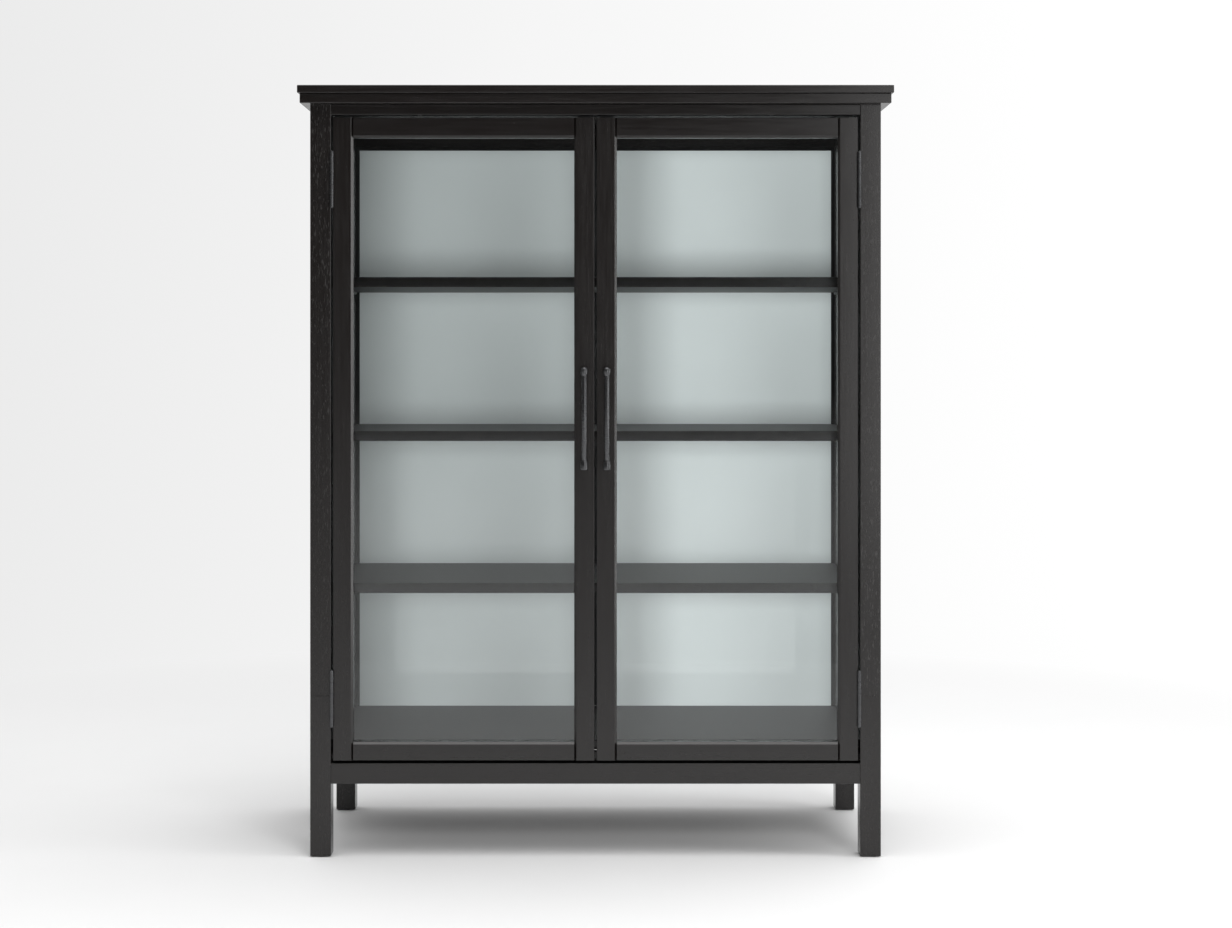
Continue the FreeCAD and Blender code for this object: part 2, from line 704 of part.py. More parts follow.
def floor_and_shelves():
    """The cabinet floor on its cleats, and three shelves on their pins."""
    reach = f"({INNER} - floor_side_clearance)"
    depth = f"({PANEL_FRONT} - {FRONT} - floor_setback)"
    corner = (f"-{reach}", f"{FRONT} + floor_setback", FLOOR_UNDER)
    node(prism("cabinet_floor", "x", eased(depth, "floor_thickness"), f"2 * {reach}", corner))

    z = (f"{FLOOR_UNDER} - cleat_height", FLOOR_UNDER)
    floor_edge = f"{FRONT} + floor_setback"
    across = (f"-{INNER}", INNER)
    rail_top = "rail_underside + front_bottom_rail_height"
    foot = box("front_cleat_foot", across, (RAIL_BACK, floor_edge), (z[0], rail_top))
    head_y = (f"{DOOR_BACK} + door_back_clearance", floor_edge)
    head = box("front_cleat_head", across, head_y, (rail_top, FLOOR_UNDER))
    front_cleat = fuse("front_cleat", [foot, head])
    side_y = (floor_edge, f"{BACK} - {BACK_RAIL}")
    side_cleat = box("side_cleat", (f"{INNER} - cleat_width", INNER), side_y, z)
    blank = group("floor_cleats_blank", [front_cleat, side_cleat, mirrored("side_cleat_left", side_cleat)])
    node(cut("floor_cleats", blank, [doc.case_screws]))

    reach = f"({INNER} - shelf_side_clearance)"
    depth = f"({PANEL_FRONT} - back_bead_size - shelf_back_clearance - {FRONT} - shelf_setback)"
    for shelf in ("low", "mid", "high"):
        corner = (f"-{reach}", f"{FRONT} + shelf_setback", f"shelf_{shelf}_top - shelf_thickness")
        node(prism(f"shelf_{shelf}", "x", eased(depth, "shelf_thickness"), f"2 * {reach}", corner))


def magnetic_catches():
    """A block behind the front top rail, and below it the magnet that faces each door's strike plate."""
    x = (f"{LOCK_X} - catch_width / 2", f"{LOCK_X} + catch_width / 2")
    y = (RAIL_BACK, f"{RAIL_BACK} + catch_thickness")
    split = f"({DOOR_TOP} + catch_gap)"
    block = box("catch_block", x, y, (split, f"{SCREW_SEAT} + front_top_rail_height * 3 / 4"))
    magnet_x = (f"{LOCK_X} - strike_width / 2", f"{LOCK_X} + strike_width / 2")
    magnet_y = (f"{DOOR_BACK} + strike_thickness + catch_gap", y[1])
    magnet_z = (f"{DOOR_TOP} - strike_inset - strike_height", split)
    magnet = box("catch_magnet", magnet_x, magnet_y, magnet_z)
    both_sides("magnetic_catches", [fuse("catch", [block, magnet])])


# The doors. Each stile runs the full height, and the rails are tenoned into the stiles.

def door_stiles(tools):
    """Hinge stile and lock stile, chamfered towards the glass and rebated behind it."""
    height = f"{DOOR_TOP} - {DOOR_BOTTOM}"
    wide = "stile_width"
    deep = "door_thickness"
    bevel = "door_chamfer"
    step = "glass_rebate_width"
    hinge_outline = [
        (bevel, "0"), (f"{wide} - arris", "0"), (wide, "arris"), (wide, deep),
        (step, deep), (step, LIP), ("0", LIP), ("0", bevel),
    ]
    lock_outline = [
        ("arris", "0"), (f"{wide} - {bevel}", "0"), (wide, bevel), (wide, LIP),
        (f"{wide} - {step}", LIP), (f"{wide} - {step}", deep), ("0", deep), ("0", "arris"),
    ]
    stiles = (("hinge_stile_right", hinge_outline, OPENING_OUT), ("lock_stile_right", lock_outline, DOOR_IN))
    for name, outline, x in stiles:
        blank = prism(name + "_blank", "z", outline, height, (x, DOOR_Y, DOOR_BOTTOM))
        pair(cut(name, blank, tools))


def door_rail(name, z, height, inner_edge_up):
    """A rail: a chamfered front lip, a back that fills the stiles' rebates, and two tenons."""
    bevel = "door_chamfer"
    lip_up = [("0", "0"), (LIP, "0"), (LIP, height), (bevel, height), ("0", f"{height} - {bevel}")]
    lip_down = [(bevel, "0"), (LIP, "0"), (LIP, height), ("0", height), ("0", bevel)]
    opening = f"({OPENING_OUT} - {OPENING_IN})"
    outline = lip_up if inner_edge_up else lip_down
    lip = prism(name + "_lip", "x", outline, opening, (OPENING_IN, DOOR_Y, z))
    top_z = f"({z} + {height})"
    step = "glass_rebate_width"
    rise = (z, f"{top_z} - {step}") if inner_edge_up else (f"{z} + {step}", top_z)
    back_x = (f"{OPENING_IN} - {step}", f"{OPENING_OUT} + {step}")
    back = box(name + "_back", back_x, (GLASS_Y, DOOR_BACK), rise)
    tenon_x = (f"{back_x[0]} - tenon_length", f"{back_x[1]} + tenon_length")
    middle = f"({GLASS_Y} + {DOOR_BACK}) / 2"
    tenon_y = (f"{middle} - tenon_thickness / 2", f"{middle} + tenon_thickness / 2")
    tenon_z = (f"{rise[0]} + tenon_shoulder", f"{rise[1]} - tenon_shoulder")
    tenon = box(name + "_tenon", tenon_x, tenon_y, tenon_z)
    return fuse(name, [lip, back, tenon])


def door_rails():
    """Top and bottom rail of the right-hand door."""
    upper_z = OPENING_TOP
    upper = door_rail("door_top_rail_right", upper_z, "door_top_rail_height", False)
    lower = door_rail("door_bottom_rail_right", DOOR_BOTTOM, "door_bottom_rail_height", True)
    pair(upper)
    pair(lower)
    return [upper, lower]


def door_glass():
    """A pane in the rebate, and four mitred beads that hold it."""
    reach = "(glass_rebate_width - glass_clearance)"
    x = (f"{OPENING_IN} - {reach}", f"{OPENING_OUT} + {reach}")
    z = (f"{OPENING_BOTTOM} - {reach}", f"{OPENING_TOP} + {reach}")
    pair(box("door_glass_right", x, (GLASS_Y, f"{GLASS_Y} + glass_thickness"), z))

    bead = "glass_rebate_width"
    left = f"({OPENING_IN} - {bead})"
    low = f"({OPENING_BOTTOM} - {bead})"
    wide = f"({OPENING_OUT} - {OPENING_IN} + 2 * {bead})"
    tall = f"({OPENING_TOP} - {OPENING_BOTTOM} + 2 * {bead})"
    y = f"{GLASS_Y} + glass_thickness"
    inner_x = f"{wide} - {bead}"
    inner_z = f"{tall} - {bead}"
    outlines = {
        "foot": [("0", "0"), (wide, "0"), (inner_x, bead), (bead, bead)],
        "head": [("0", tall), (wide, tall), (inner_x, inner_z), (bead, inner_z)],
        "lock": [("0", "0"), (bead, bead), (bead, inner_z), ("0", tall)],
        "hinge": [(wide, "0"), (inner_x, bead), (inner_x, inner_z), (wide, tall)],
    }
    beads = [
        prism(f"glass_bead_{side}", "y", outline, "glass_bead_depth", (left, y, low))
        for side, outline in outlines.items()
    ]
    pair(group("glass_beads_right", beads))


def handle_screws():
    """Two machine screws through the lock stile into the handle."""
    made = []
    for index, shift in enumerate(("- handle_spacing / 2", "+ handle_spacing / 2")):
        start = (LOCK_X, DOOR_BACK, f"handle_height {shift}")
        name = f"handle_screw_{index}"
        head = rod(name + "_head", "handle_screw_head_radius", "handle_screw_head_height", start, "y")
        grip = "door_thickness + handle_screw_grip"
        shank = rod(name + "_shank", "handle_screw_radius", grip, start, "-y")
        made.append(fuse(name, [head, shank]))
    screws = group("handle_screws_right", made)
    pair(screws)
    return screws


def handles(screws):
    """A turned bar with a collar at each end, on two feet with a small rose against the door."""
    bar = "handle_bar_radius"
    collar = "handle_collar_radius"
    edge = "handle_end_chamfer"
    long = "handle_length"
    shoulder = "handle_collar_length"
    slope = "(handle_collar_length + handle_taper_length)"
    outline = [
        ("0", "0"), (f"{collar} - {edge}", "0"), (collar, edge), (collar, shoulder), (bar, slope),
        (bar, f"{long} - {slope}"), (collar, f"{long} - {shoulder}"), (collar, f"{long} - {edge}"),
        (f"{collar} - {edge}", long), ("0", long),
    ]
    parts = [turned("handle_bar", outline, (LOCK_X, HANDLE_Y, f"handle_height - {long} / 2"))]
    for index, shift in enumerate(("- handle_spacing / 2", "+ handle_spacing / 2")):
        z = f"handle_height {shift}"
        reach = f"{DOOR_Y} - {HANDLE_Y}"
        parts.append(rod(f"handle_foot_{index}", "handle_foot_radius", reach, (LOCK_X, HANDLE_Y, z), "y"))
        rose_start = (LOCK_X, f"{DOOR_Y} - handle_rose_thickness", z)
        parts.append(rod(f"handle_rose_{index}", collar, "handle_rose_thickness", rose_start, "y"))
    pair(cut("handle_right", fuse("handle_blank", parts), [screws]))


def strike_plates():
    """A steel plate on the back of each lock stile, which the magnet holds."""
    x = (f"{LOCK_X} - strike_width / 2", f"{LOCK_X} + strike_width / 2")
    y = (DOOR_BACK, f"{DOOR_BACK} + strike_thickness")
    z = (f"{DOOR_TOP} - strike_inset - strike_height", f"{DOOR_TOP} - strike_inset")
    pair(box("strike_plate_right", x, y, z))


def door_hinge_leaves(screws):
    """The leaves on the door, with the knuckles between the post's, free to turn on the pin."""
    plate_x = (DOOR_OUT, f"{DOOR_OUT} + hinge_leaf_thickness")
    bore = "hinge_pin_radius + hinge_pin_clearance"
    made = []
    for level, middle in HINGE_HEIGHTS.items():
        name = f"door_leaf_{level}"
        made.append(hinge_leaf(name, middle, plate_x, range(1, KNUCKLES, 2), bore, screws))
    pair(group("door_hinge_leaves_right", made))


def build_case():
    """Everything that stands still."""
    fixed = [dowels(), case_screws(), foot_glides(), back_panel_screws()]
    wells = screw_wells()
    post_screws = hinge_screws("post_hinge_screws_right_side", f"{INNER} - hinge_leaf_thickness", "x")
    hinge_pins()
    post_hinge_leaves(post_screws)
    both_sides("post_hinge_screws", [post_screws])
    groove = side_panel_space("side_panel_groove", "groove_clearance")
    grooves = group("side_panel_grooves", [groove, mirrored("side_panel_groove_left", groove)])
    rebate = back_rebate()
    tools = fixed + [grooves, rebate]
    posts_and_legs(tools + [post_screws])
    case_rails(tools + [wells, wall_holes()])
    side_panels([shelf_pins(), spare_pin_holes()])
    back_panels()
    floor_and_shelves()
    magnetic_catches()
    top()


def build_doors():
    """Everything that turns on the hinges."""
    screws = hinge_screws("door_hinge_screws_right", f"{DOOR_OUT} + hinge_leaf_thickness", "-x")
    pair(screws)
    door_hinge_leaves(screws)
    fixings = handle_screws()
    handles(fixings)
    door_stiles(door_rails() + [screws, fixings])
    door_glass()
    strike_plates()


def check_and_export():
    """Stop at any failed object or bad shape, then write one file for each node."""
    for item in doc.Objects:
        if "Invalid" in item.State or "Error" in item.State:
            raise RuntimeError(f"{item.Label} failed: {item.State}")
    for piece in nodes:
        if piece.Shape.isNull() or not piece.Shape.isValid() or not piece.Shape.Solids:
            raise RuntimeError(f"{piece.Label} has a bad shape")
    os.makedirs("parts", exist_ok=True)
    for piece in nodes:
        piece.Shape.exportStep(f"parts/{piece.Label}.step")
        print(f"{piece.Label}: {len(piece.Shape.Solids)} solids, {piece.Shape.Volume:.0f} mm3")
    print(f"{len(nodes)} nodes")


fill_sheet()
build_case()
build_doors()
doc.recompute()
check_and_export()
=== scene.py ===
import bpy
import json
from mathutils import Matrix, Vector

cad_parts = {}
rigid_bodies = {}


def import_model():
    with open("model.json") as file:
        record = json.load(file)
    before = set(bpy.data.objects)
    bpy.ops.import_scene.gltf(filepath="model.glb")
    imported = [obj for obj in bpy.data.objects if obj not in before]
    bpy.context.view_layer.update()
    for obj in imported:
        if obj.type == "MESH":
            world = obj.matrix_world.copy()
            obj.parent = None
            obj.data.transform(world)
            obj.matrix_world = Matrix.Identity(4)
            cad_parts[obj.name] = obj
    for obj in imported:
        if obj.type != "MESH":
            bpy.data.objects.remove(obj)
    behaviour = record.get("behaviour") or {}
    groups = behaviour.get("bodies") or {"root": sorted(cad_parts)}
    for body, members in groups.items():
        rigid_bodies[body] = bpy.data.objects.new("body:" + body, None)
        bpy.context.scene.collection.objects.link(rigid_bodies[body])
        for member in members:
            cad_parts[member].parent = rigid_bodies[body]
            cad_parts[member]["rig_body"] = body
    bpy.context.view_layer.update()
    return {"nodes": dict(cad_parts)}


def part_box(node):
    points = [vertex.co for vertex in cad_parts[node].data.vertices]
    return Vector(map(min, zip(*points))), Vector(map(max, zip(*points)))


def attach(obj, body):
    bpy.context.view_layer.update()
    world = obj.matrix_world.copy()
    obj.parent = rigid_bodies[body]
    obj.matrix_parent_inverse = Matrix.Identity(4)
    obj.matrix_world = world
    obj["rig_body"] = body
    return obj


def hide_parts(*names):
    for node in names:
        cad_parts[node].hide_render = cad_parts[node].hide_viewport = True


bl_info = {
    "name": "China cabinet with glass doors",
    "version": (1, 0, 0),
    "blender": (4, 5, 0),
    "location": "View3D > Sidebar > Cabinet",
    "description": "Finished boards, doors, fittings and studio for a stained china cabinet",
    "category": "Object",
}

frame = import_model()

import json
import math

import bmesh
import bpy
from bpy.props import FloatProperty, FloatVectorProperty, IntProperty, PointerProperty
from bpy.types import Operator, Panel, PropertyGroup
from mathutils import Vector

SIDES = {"left": -1, "right": 1}
AXES = {"x": 0, "y": 1, "z": 2}
FLAT_ANGLE = math.radians(40)
TURNED_ANGLE = math.radians(35)


# What a user may change.

def length_setting(label, note, default, least=0.0001):
    """A length in metres."""
    return FloatProperty(name=label, description=note, default=default, min=least, unit="LENGTH")


def color_setting(label, note, red, green, blue):
    """A colour of full strength."""
    return FloatVectorProperty(name=label, description=note, subtype="COLOR", size=4,
                               default=(red, green, blue, 1.0), min=0, max=1)


def power_setting(label, note, default):
    """The power of a lamp in watts."""
    return FloatProperty(name=label, description=note, default=default, min=0, unit="POWER")


def glow_setting(label, note, default):
    """The brightness of a part of the room."""
    return FloatProperty(name=label, description=note, default=default, min=0)


class CabinetSizes(PropertyGroup):
    """Sizes of the fine shapes that the makers add to the frame"""
    arris: length_setting("Arris", "Rounding along the edges of posts and rails", 0.0012)
    shelf_arris: length_setting("Shelf arris", "Rounding along the edges of shelves and floor", 0.0021)
    top_arris: length_setting("Top arris", "Rounding of the edges of the two top boards", 0.0014)
    seam: length_setting("Seam", "Easing of the ends where two boards meet", 0.0006)
    door_bevel: length_setting("Door bevel", "Bevel of the door frame towards the glass", 0.004, 0.001)
    bead_round: length_setting("Bead rounding", "Rounding of the beads on the inside", 0.003, 0.0005)
    pane_edge: length_setting("Pane edge", "Ground edge of the panes", 0.0005)
    metal_edge: length_setting("Metal edge", "Rounding of hinge and plate edges", 0.0004)
    plate_corner: length_setting("Plate corner", "Corner radius of the strike plates", 0.0025, 0.0005)
    turning_steps: IntProperty(
        name="Turning steps", description="Sides of a turned piece", default=40, min=12)


class CabinetFinishes(PropertyGroup):
    """Colours of the finishes"""
    stain: color_setting("Stain", "Black stain on the wood", 0.0092, 0.0070, 0.0063)
    streak: color_setting("Streak", "Paler early wood under the stain", 0.0165, 0.0146, 0.0140)
    pore: color_setting("Pore", "Dusty open pores", 0.050, 0.047, 0.046)
    panel: color_setting("Back panel", "Lacquer on the back panels", 0.815, 0.848, 0.852)
    glass: color_setting("Glass", "Faint tint of the panes", 0.962, 0.984, 0.981)
    dark_metal: color_setting("Dark metal", "Handles and hinges", 0.105, 0.106, 0.110)
    zinc: color_setting("Zinc", "Screws, pins and strike plates", 0.56, 0.57, 0.58)
    beech: color_setting("Beech", "Dowels", 0.62, 0.47, 0.30)
    black_plastic: color_setting("Black plastic", "Glides and catches", 0.022, 0.022, 0.023)
    dark_plastic: color_setting("Dark plastic", "Strip between the back panels", 0.012, 0.012, 0.0125)


class CabinetStudio(PropertyGroup):
    """Camera, lights and backdrop"""
    camera_place: FloatVectorProperty(
        name="Camera", description="Where the camera stands", subtype="TRANSLATION", size=3,
        default=(-0.0036, -3.787, 0.878))
    lens: FloatProperty(name="Lens", description="Focal length in millimetres", default=60.66)
    shift: FloatVectorProperty(
        name="Shift", description="Shift of the lens across and up", size=2, default=(0.0183, -0.0917))
    roof_power: power_setting("Roof light", "Wide light overhead", 60.0)
    right_power: power_setting("Right light", "Soft light from the front right", 21.0)
    side_power: power_setting("Side light", "Tall light at the right side", 22.0)
    floor_power: power_setting("Floor light", "Light on the floor from the front", 62.0)
    left_door_power: power_setting("Left door light", "Light through the left door", 72.0)
    right_door_power: power_setting("Right door light", "Light through the right door", 128.0)
    room_front: glow_setting("Room in front", "Brightness of the room behind the camera", 0.03)
    room_back: glow_setting("Room behind", "Brightness of the room behind the cabinet", 0.55)
    room_right: glow_setting("Room on the right", "Added brightness on the right", 0.24)
    room_top: glow_setting("Room overhead", "Added brightness overhead", 0.9)
    room_below: glow_setting("Room below", "Brightness below the horizon", 0.95)
    sweep_radius: length_setting("Sweep radius", "Where the floor turns up into the wall", 2.5, 1.0)


# Bench work: how a piece is started, picked at, shaped and finished.

def clear_selection():
    """Leave edit mode, with nothing selected."""
    if bpy.context.object and bpy.context.object.mode != "OBJECT":
        bpy.ops.object.mode_set(mode="OBJECT")
    bpy.ops.object.select_all(action="DESELECT")


def choose(pieces):
    """Select just these pieces, the first one active."""
    clear_selection()
    for piece in pieces:
        piece.select_set(True)
    bpy.context.view_layer.objects.active = pieces[0]


def set_in_mesh():
    """Work the chosen piece's place, turn and size into its mesh."""
    bpy.ops.object.transform_apply(location=True, rotation=True, scale=True)


def start_box(low, high):
    """A block between two corners, in edit mode."""
    clear_selection()
    low, high = Vector(low), Vector(high)
    bpy.ops.mesh.primitive_cube_add(size=1, location=(low + high) / 2, scale=high - low)
    set_in_mesh()
    bpy.ops.object.mode_set(mode="EDIT")
    return bpy.context.object


def pick(kind, test):
    """Select just the edges or faces that pass the test."""
    bpy.ops.mesh.select_mode(type=kind)
    bpy.ops.mesh.select_all(action="DESELECT")
    data = bpy.context.object.data
    mesh = bmesh.from_edit_mesh(data)
    for item in mesh.faces if kind == "FACE" else mesh.edges:
        if test(item):
            item.select_set(True)
    bmesh.update_edit_mesh(data)


def runs_along(edge, axis):
    """Whether an edge runs along an axis."""
    step = edge.verts[1].co - edge.verts[0].co
    return abs(step[axis]) > 0.99 * step.length


def lies_at(item, axis, level):
    """Whether an edge or a face lies at a level."""
    return all(abs(corner.co[axis] - level) < 1e-5 for corner in item.verts)


def faces_to(face, axis, sign):
    """Whether a face looks along an axis."""
    return face.normal[axis] * sign > 0.9


def pick_edges(along, *places):
    """Select just the edges along an axis, or all ways, that lie at each place's axis and level."""
    pick("EDGE", lambda edge: (along is None or runs_along(edge, along))
         and all(lies_at(edge, axis, level) for axis, level in places))


def round_picked(width, steps=3):
    """Round the picked edges."""
    bpy.ops.mesh.bevel(offset=width, segments=steps, affect="EDGES", clamp_overlap=True)


def push_picked(move):
    """Extrude the picked faces."""
    bpy.ops.mesh.extrude_region_move(TRANSFORM_OT_translate={"value": move})


def scale_picked(factor, height):
    """Scale what is picked across X and Y, about the Z axis at a height."""
    bpy.ops.transform.resize(value=(factor, factor, 1), center_override=(0, 0, height))


def face_outwards(inside=False):
    """Turn every face of the piece outwards, or inwards."""
    bpy.ops.mesh.select_all(action="SELECT")
    bpy.ops.mesh.normals_make_consistent(inside=inside)
    bpy.ops.object.mode_set(mode="OBJECT")


def saw(point, normal, fill=False, waste=False):
    """Cut through the piece, and drop what lies along the normal if it is waste."""
    bpy.ops.mesh.select_all(action="SELECT")
    bpy.ops.mesh.bisect(plane_co=point, plane_no=normal, use_fill=fill, clear_outer=waste)


def smooth_flats():
    """Shade the rounded edges smoothly and keep the flats flat."""
    piece = bpy.context.object
    bpy.ops.object.mode_set(mode="OBJECT")
    bpy.ops.object.shade_smooth_by_angle(angle=FLAT_ANGLE)
    bpy.ops.object.modifier_add(type="WEIGHTED_NORMAL")
    piece.modifiers[-1].keep_sharp = True
    bpy.ops.object.modifier_apply(modifier=piece.modifiers[-1].name)
    return piece


def join(pieces):
    """One object from several."""
    choose(pieces)
    if len(pieces) > 1:
        bpy.ops.object.join()
    return bpy.context.object


def keep(piece, node, finish):
    """Name a finished piece, give it its finish, and let it stand for its node."""
    piece.name = piece.data.name = f"{node}.finished"
    piece.data.materials.clear()
    piece.data.materials.append(material_for(finish))
    cad = frame["nodes"][node]
    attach(piece, cad["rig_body"])
    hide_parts(node)
    return piece


# Used here only to put darker painted-shade copies of the stain on faces in gaps and on shelf faces.
def finish_faces(piece, finish, axis, signs):
    """Give the faces that look along an axis a finish of their own."""
    piece.data.materials.append(material_for(finish))
    choose([piece])
    piece.active_material_index = 1
    bpy.ops.object.mode_set(mode="EDIT")
    pick("FACE", lambda face: any(faces_to(face, axis, sign) for sign in signs))
    bpy.ops.object.material_slot_assign()
    bpy.ops.object.mode_set(mode="OBJECT")


def middle_of(box):
    """The middle of a low and a high corner."""
    return (box[0] + box[1]) / 2


MEASURED = {}


def solids_of(node):
    """The low and high corners of each separate solid of a node."""
    if node not in MEASURED:
        MEASURED[node] = measure_solids(node)
    return MEASURED[node]


def measure_solids(node):
    """The corners of a node's solids, from a copy split into loose parts."""
    cad = frame["nodes"][node]
    choose([cad])
    bpy.ops.object.duplicate()
    bpy.ops.object.mode_set(mode="EDIT")
    bpy.ops.mesh.select_all(action="SELECT")
    bpy.ops.mesh.remove_doubles(threshold=1e-6)
    bpy.ops.mesh.separate(type="LOOSE")
    bpy.ops.object.mode_set(mode="OBJECT")
    found = []
    for part in list(bpy.context.selected_objects):
        corners = [vertex.co for vertex in part.data.vertices]
        low = Vector(min(corner[axis] for corner in corners) for axis in range(3))
        high = Vector(max(corner[axis] for corner in corners) for axis in range(3))
        found.append((low, high))
        bpy.data.objects.remove(part)
    return sorted(found, key=lambda box: tuple(round(value, 5) for value in box[0]))


def board(node, along, ease, end_ease, finish):
    """A plain board in a node's place, rounded along its length and eased at its ends."""
    axis = AXES[along]
    low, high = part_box(node)
    start_box(low, high)
    pick_edges(axis)
    round_picked(ease)
    for level in (low[axis], high[axis]):
        pick_edges(None, (axis, level))
        round_picked(end_ease, 2)
    return keep(smooth_flats(), node, finish)


def both_ends(profile, length):
    """A profile and its mirror image, so that both ends of a piece are alike."""
    return profile + [(length - height, radius) for height, radius in reversed(profile)]


def turned_piece(profile, steps=None):
    """A turned piece along +Z, a disc drawn up from ring to ring of (height, radius)."""
    clear_selection()
    height, radius = profile[0]
    sides = steps or sizes().turning_steps
    bpy.ops.mesh.primitive_circle_add(
        vertices=sides, radius=radius, fill_type="NGON", location=(0, 0, height))
    set_in_mesh()
    bpy.ops.object.mode_set(mode="EDIT")
    for next_height, next_radius in profile[1:]:
        push_picked((0, 0, next_height - height))
        scale_picked(next_radius / radius, next_height)
        height, radius = next_height, next_radius
    face_outwards()
    bpy.ops.object.shade_smooth_by_angle(angle=TURNED_ANGLE)
    return bpy.context.object


HEADINGS = {
    "+x": (0, math.pi / 2, 0), "-x": (0, -math.pi / 2, 0),
    "+y": (-math.pi / 2, 0, 0), "-y": (math.pi / 2, 0, 0),
    "+z": (0, 0, 0), "-z": (math.pi, 0, 0),
}


def copy_to(pattern, place, heading="+z"):
    """A copy of a pattern piece with a mesh of its own, its +Z turned to a heading."""
    choose([pattern])
    bpy.ops.object.duplicate()
    copy = bpy.context.object
    copy.location = place
    copy.rotation_euler = HEADINGS[heading]
    set_in_mesh()
    return copy


def discard(piece):
    """Take a pattern piece away."""
    bpy.data.objects.remove(piece)


def copies(pattern, places, heading="+z"):
    """Copies of a pattern piece in its places, and the pattern taken away."""
    made = [copy_to(pattern, place, heading) for place in places]
    discard(pattern)
    return made


def sizes():
    """The sizes of the fine shapes."""
    return bpy.context.scene.cabinet_sizes


def finishes():
    """The colours of the finishes."""
    return bpy.context.scene.cabinet_finishes


def studio():
    """The studio's settings."""
    return bpy.context.scene.cabinet_studio


# Finishes.

STRETCH_LONG = 0.045
STRETCH_SHORT = 0.17
WOOD_RELIEF = 0.0001
SURFACE_SOCKETS = (
    ("Color", "NodeSocketColor"), ("Roughness", "NodeSocketFloat"), ("Height", "NodeSocketFloat"))


def new_node(tree, kind, inputs=None, **settings):
    """A node with its settings, and its inputs set or linked."""
    made = tree.nodes.new(kind)
    for name, value in settings.items():
        setattr(made, name, value)
    for name, value in (inputs or {}).items():
        if isinstance(value, bpy.types.NodeSocket):
            tree.links.new(value, made.inputs[name])
        else:
            made.inputs[name].default_value = value
    return made


def maths(tree, operation, first, second, clamp=False):
    """One sum of two values."""
    made = new_node(tree, "ShaderNodeMath", {0: first, 1: second}, operation=operation, use_clamp=clamp)
    return made.outputs[0]


def ramp(tree, value, low, high, to_low=0.0, to_high=1.0):
    """A value brought from one span to another, and held at its ends."""
    made = new_node(tree, "ShaderNodeMapRange", {
        "Value": value, "From Min": low, "From Max": high, "To Min": to_low, "To Max": to_high,
    })
    return made.outputs["Result"]


def blend_colors(tree, factor, first, second):
    """A mix of two colours."""
    made = new_node(tree, "ShaderNodeMix", {0: factor, 6: first, 7: second}, data_type="RGBA")
    return made.outputs[2]


def blend_values(tree, factor, first, second):
    """A mix of two values."""
    made = new_node(tree, "ShaderNodeMix", {0: factor, 2: first, 3: second}, data_type="FLOAT")
    return made.outputs[0]


def noise(tree, vector, scale, detail, distortion=0.0):
    """A soft random value over a vector."""
    made = new_node(tree, "ShaderNodeTexNoise", {
        "Vector": vector, "Scale": scale, "Detail": detail, "Distortion": distortion,
    })
    return made.outputs["Fac"]


def new_group(name, inputs, outputs):
    """An empty node group with its sockets."""
    group = bpy.data.node_groups.new(name, "ShaderNodeTree")
    for label, kind in inputs:
        group.interface.new_socket(label, in_out="INPUT", socket_type=kind)
    for label, kind in outputs:
        group.interface.new_socket(label, in_out="OUTPUT", socket_type=kind)
    return group, group.nodes.new("NodeGroupInput").outputs, group.nodes.new("NodeGroupOutput")


def wood_figure():
    """Figure, streaks and pores of stained wood, shared by every board."""
    group, given, out = new_group(
        "wood_figure",
        [("Long grain", "NodeSocketVector"), ("Short grain", "NodeSocketVector"),
         ("Stain", "NodeSocketColor"), ("Streak", "NodeSocketColor"), ("Pore", "NodeSocketColor"),
         ("Openness", "NodeSocketFloat")],
        SURFACE_SOCKETS,
    )
    figure = noise(group, given["Long grain"], 16, 3, 0.7)
    lines = noise(group, given["Long grain"], 330, 4, 0.2)
    flecks = noise(group, given["Short grain"], 520, 1)
    early = ramp(group, figure, 0.36, 0.66)
    streaks = ramp(group, lines, 0.36, 0.70)
    tone = maths(group, "ADD", maths(group, "MULTIPLY", early, 0.45),
                 maths(group, "MULTIPLY", streaks, 0.5), clamp=True)
    wood = blend_colors(group, tone, given["Stain"], given["Streak"])
    pores = maths(group, "MULTIPLY", ramp(group, flecks, 0.60, 0.69), given["Openness"])
    in_early = maths(group, "MULTIPLY", pores, ramp(group, figure, 0.38, 0.58, 0.25, 1.0))
    group.links.new(blend_colors(group, in_early, wood, given["Pore"]), out.inputs["Color"])
    rough = maths(group, "ADD", ramp(group, streaks, 0, 1, 0.21, 0.27),
                  maths(group, "MULTIPLY", pores, 0.10))
    group.links.new(rough, out.inputs["Roughness"])
    relief = maths(group, "SUBTRACT", maths(group, "MULTIPLY", streaks, 0.35), pores)
    group.links.new(relief, out.inputs["Height"])
    return group


def fine_mottle():
    """A faint cloudiness and a fine texture for lacquer, metal and plastic."""
    group, given, out = new_group(
        "fine_mottle",
        [("Vector", "NodeSocketVector"), ("Color", "NodeSocketColor"), ("Depth", "NodeSocketFloat"),
         ("Low", "NodeSocketFloat"), ("High", "NodeSocketFloat")],
        SURFACE_SOCKETS,
    )
    clouds = noise(group, given["Vector"], 7, 3)
    grit = noise(group, given["Vector"], 900, 2)
    dark = blend_colors(group, given["Depth"], given["Color"], (0, 0, 0, 1))
    group.links.new(blend_colors(group, ramp(group, clouds, 0.3, 0.7), given["Color"], dark),
                    out.inputs["Color"])
    rough = ramp(group, grit, 0.3, 0.7, given["Low"], given["High"])
    group.links.new(rough, out.inputs["Roughness"])
    group.links.new(grit, out.inputs["Height"])
    return group


def shared_group(make):
    """A node group, built the first time it is asked for."""
    return bpy.data.node_groups.get(make.__name__) or make()


def new_material(name):
    """An empty node material, and its tree and output."""
    material = bpy.data.materials.new(name)
    material.use_nodes = True
    material.node_tree.nodes.clear()
    return material, material.node_tree, material.node_tree.nodes.new("ShaderNodeOutputMaterial")


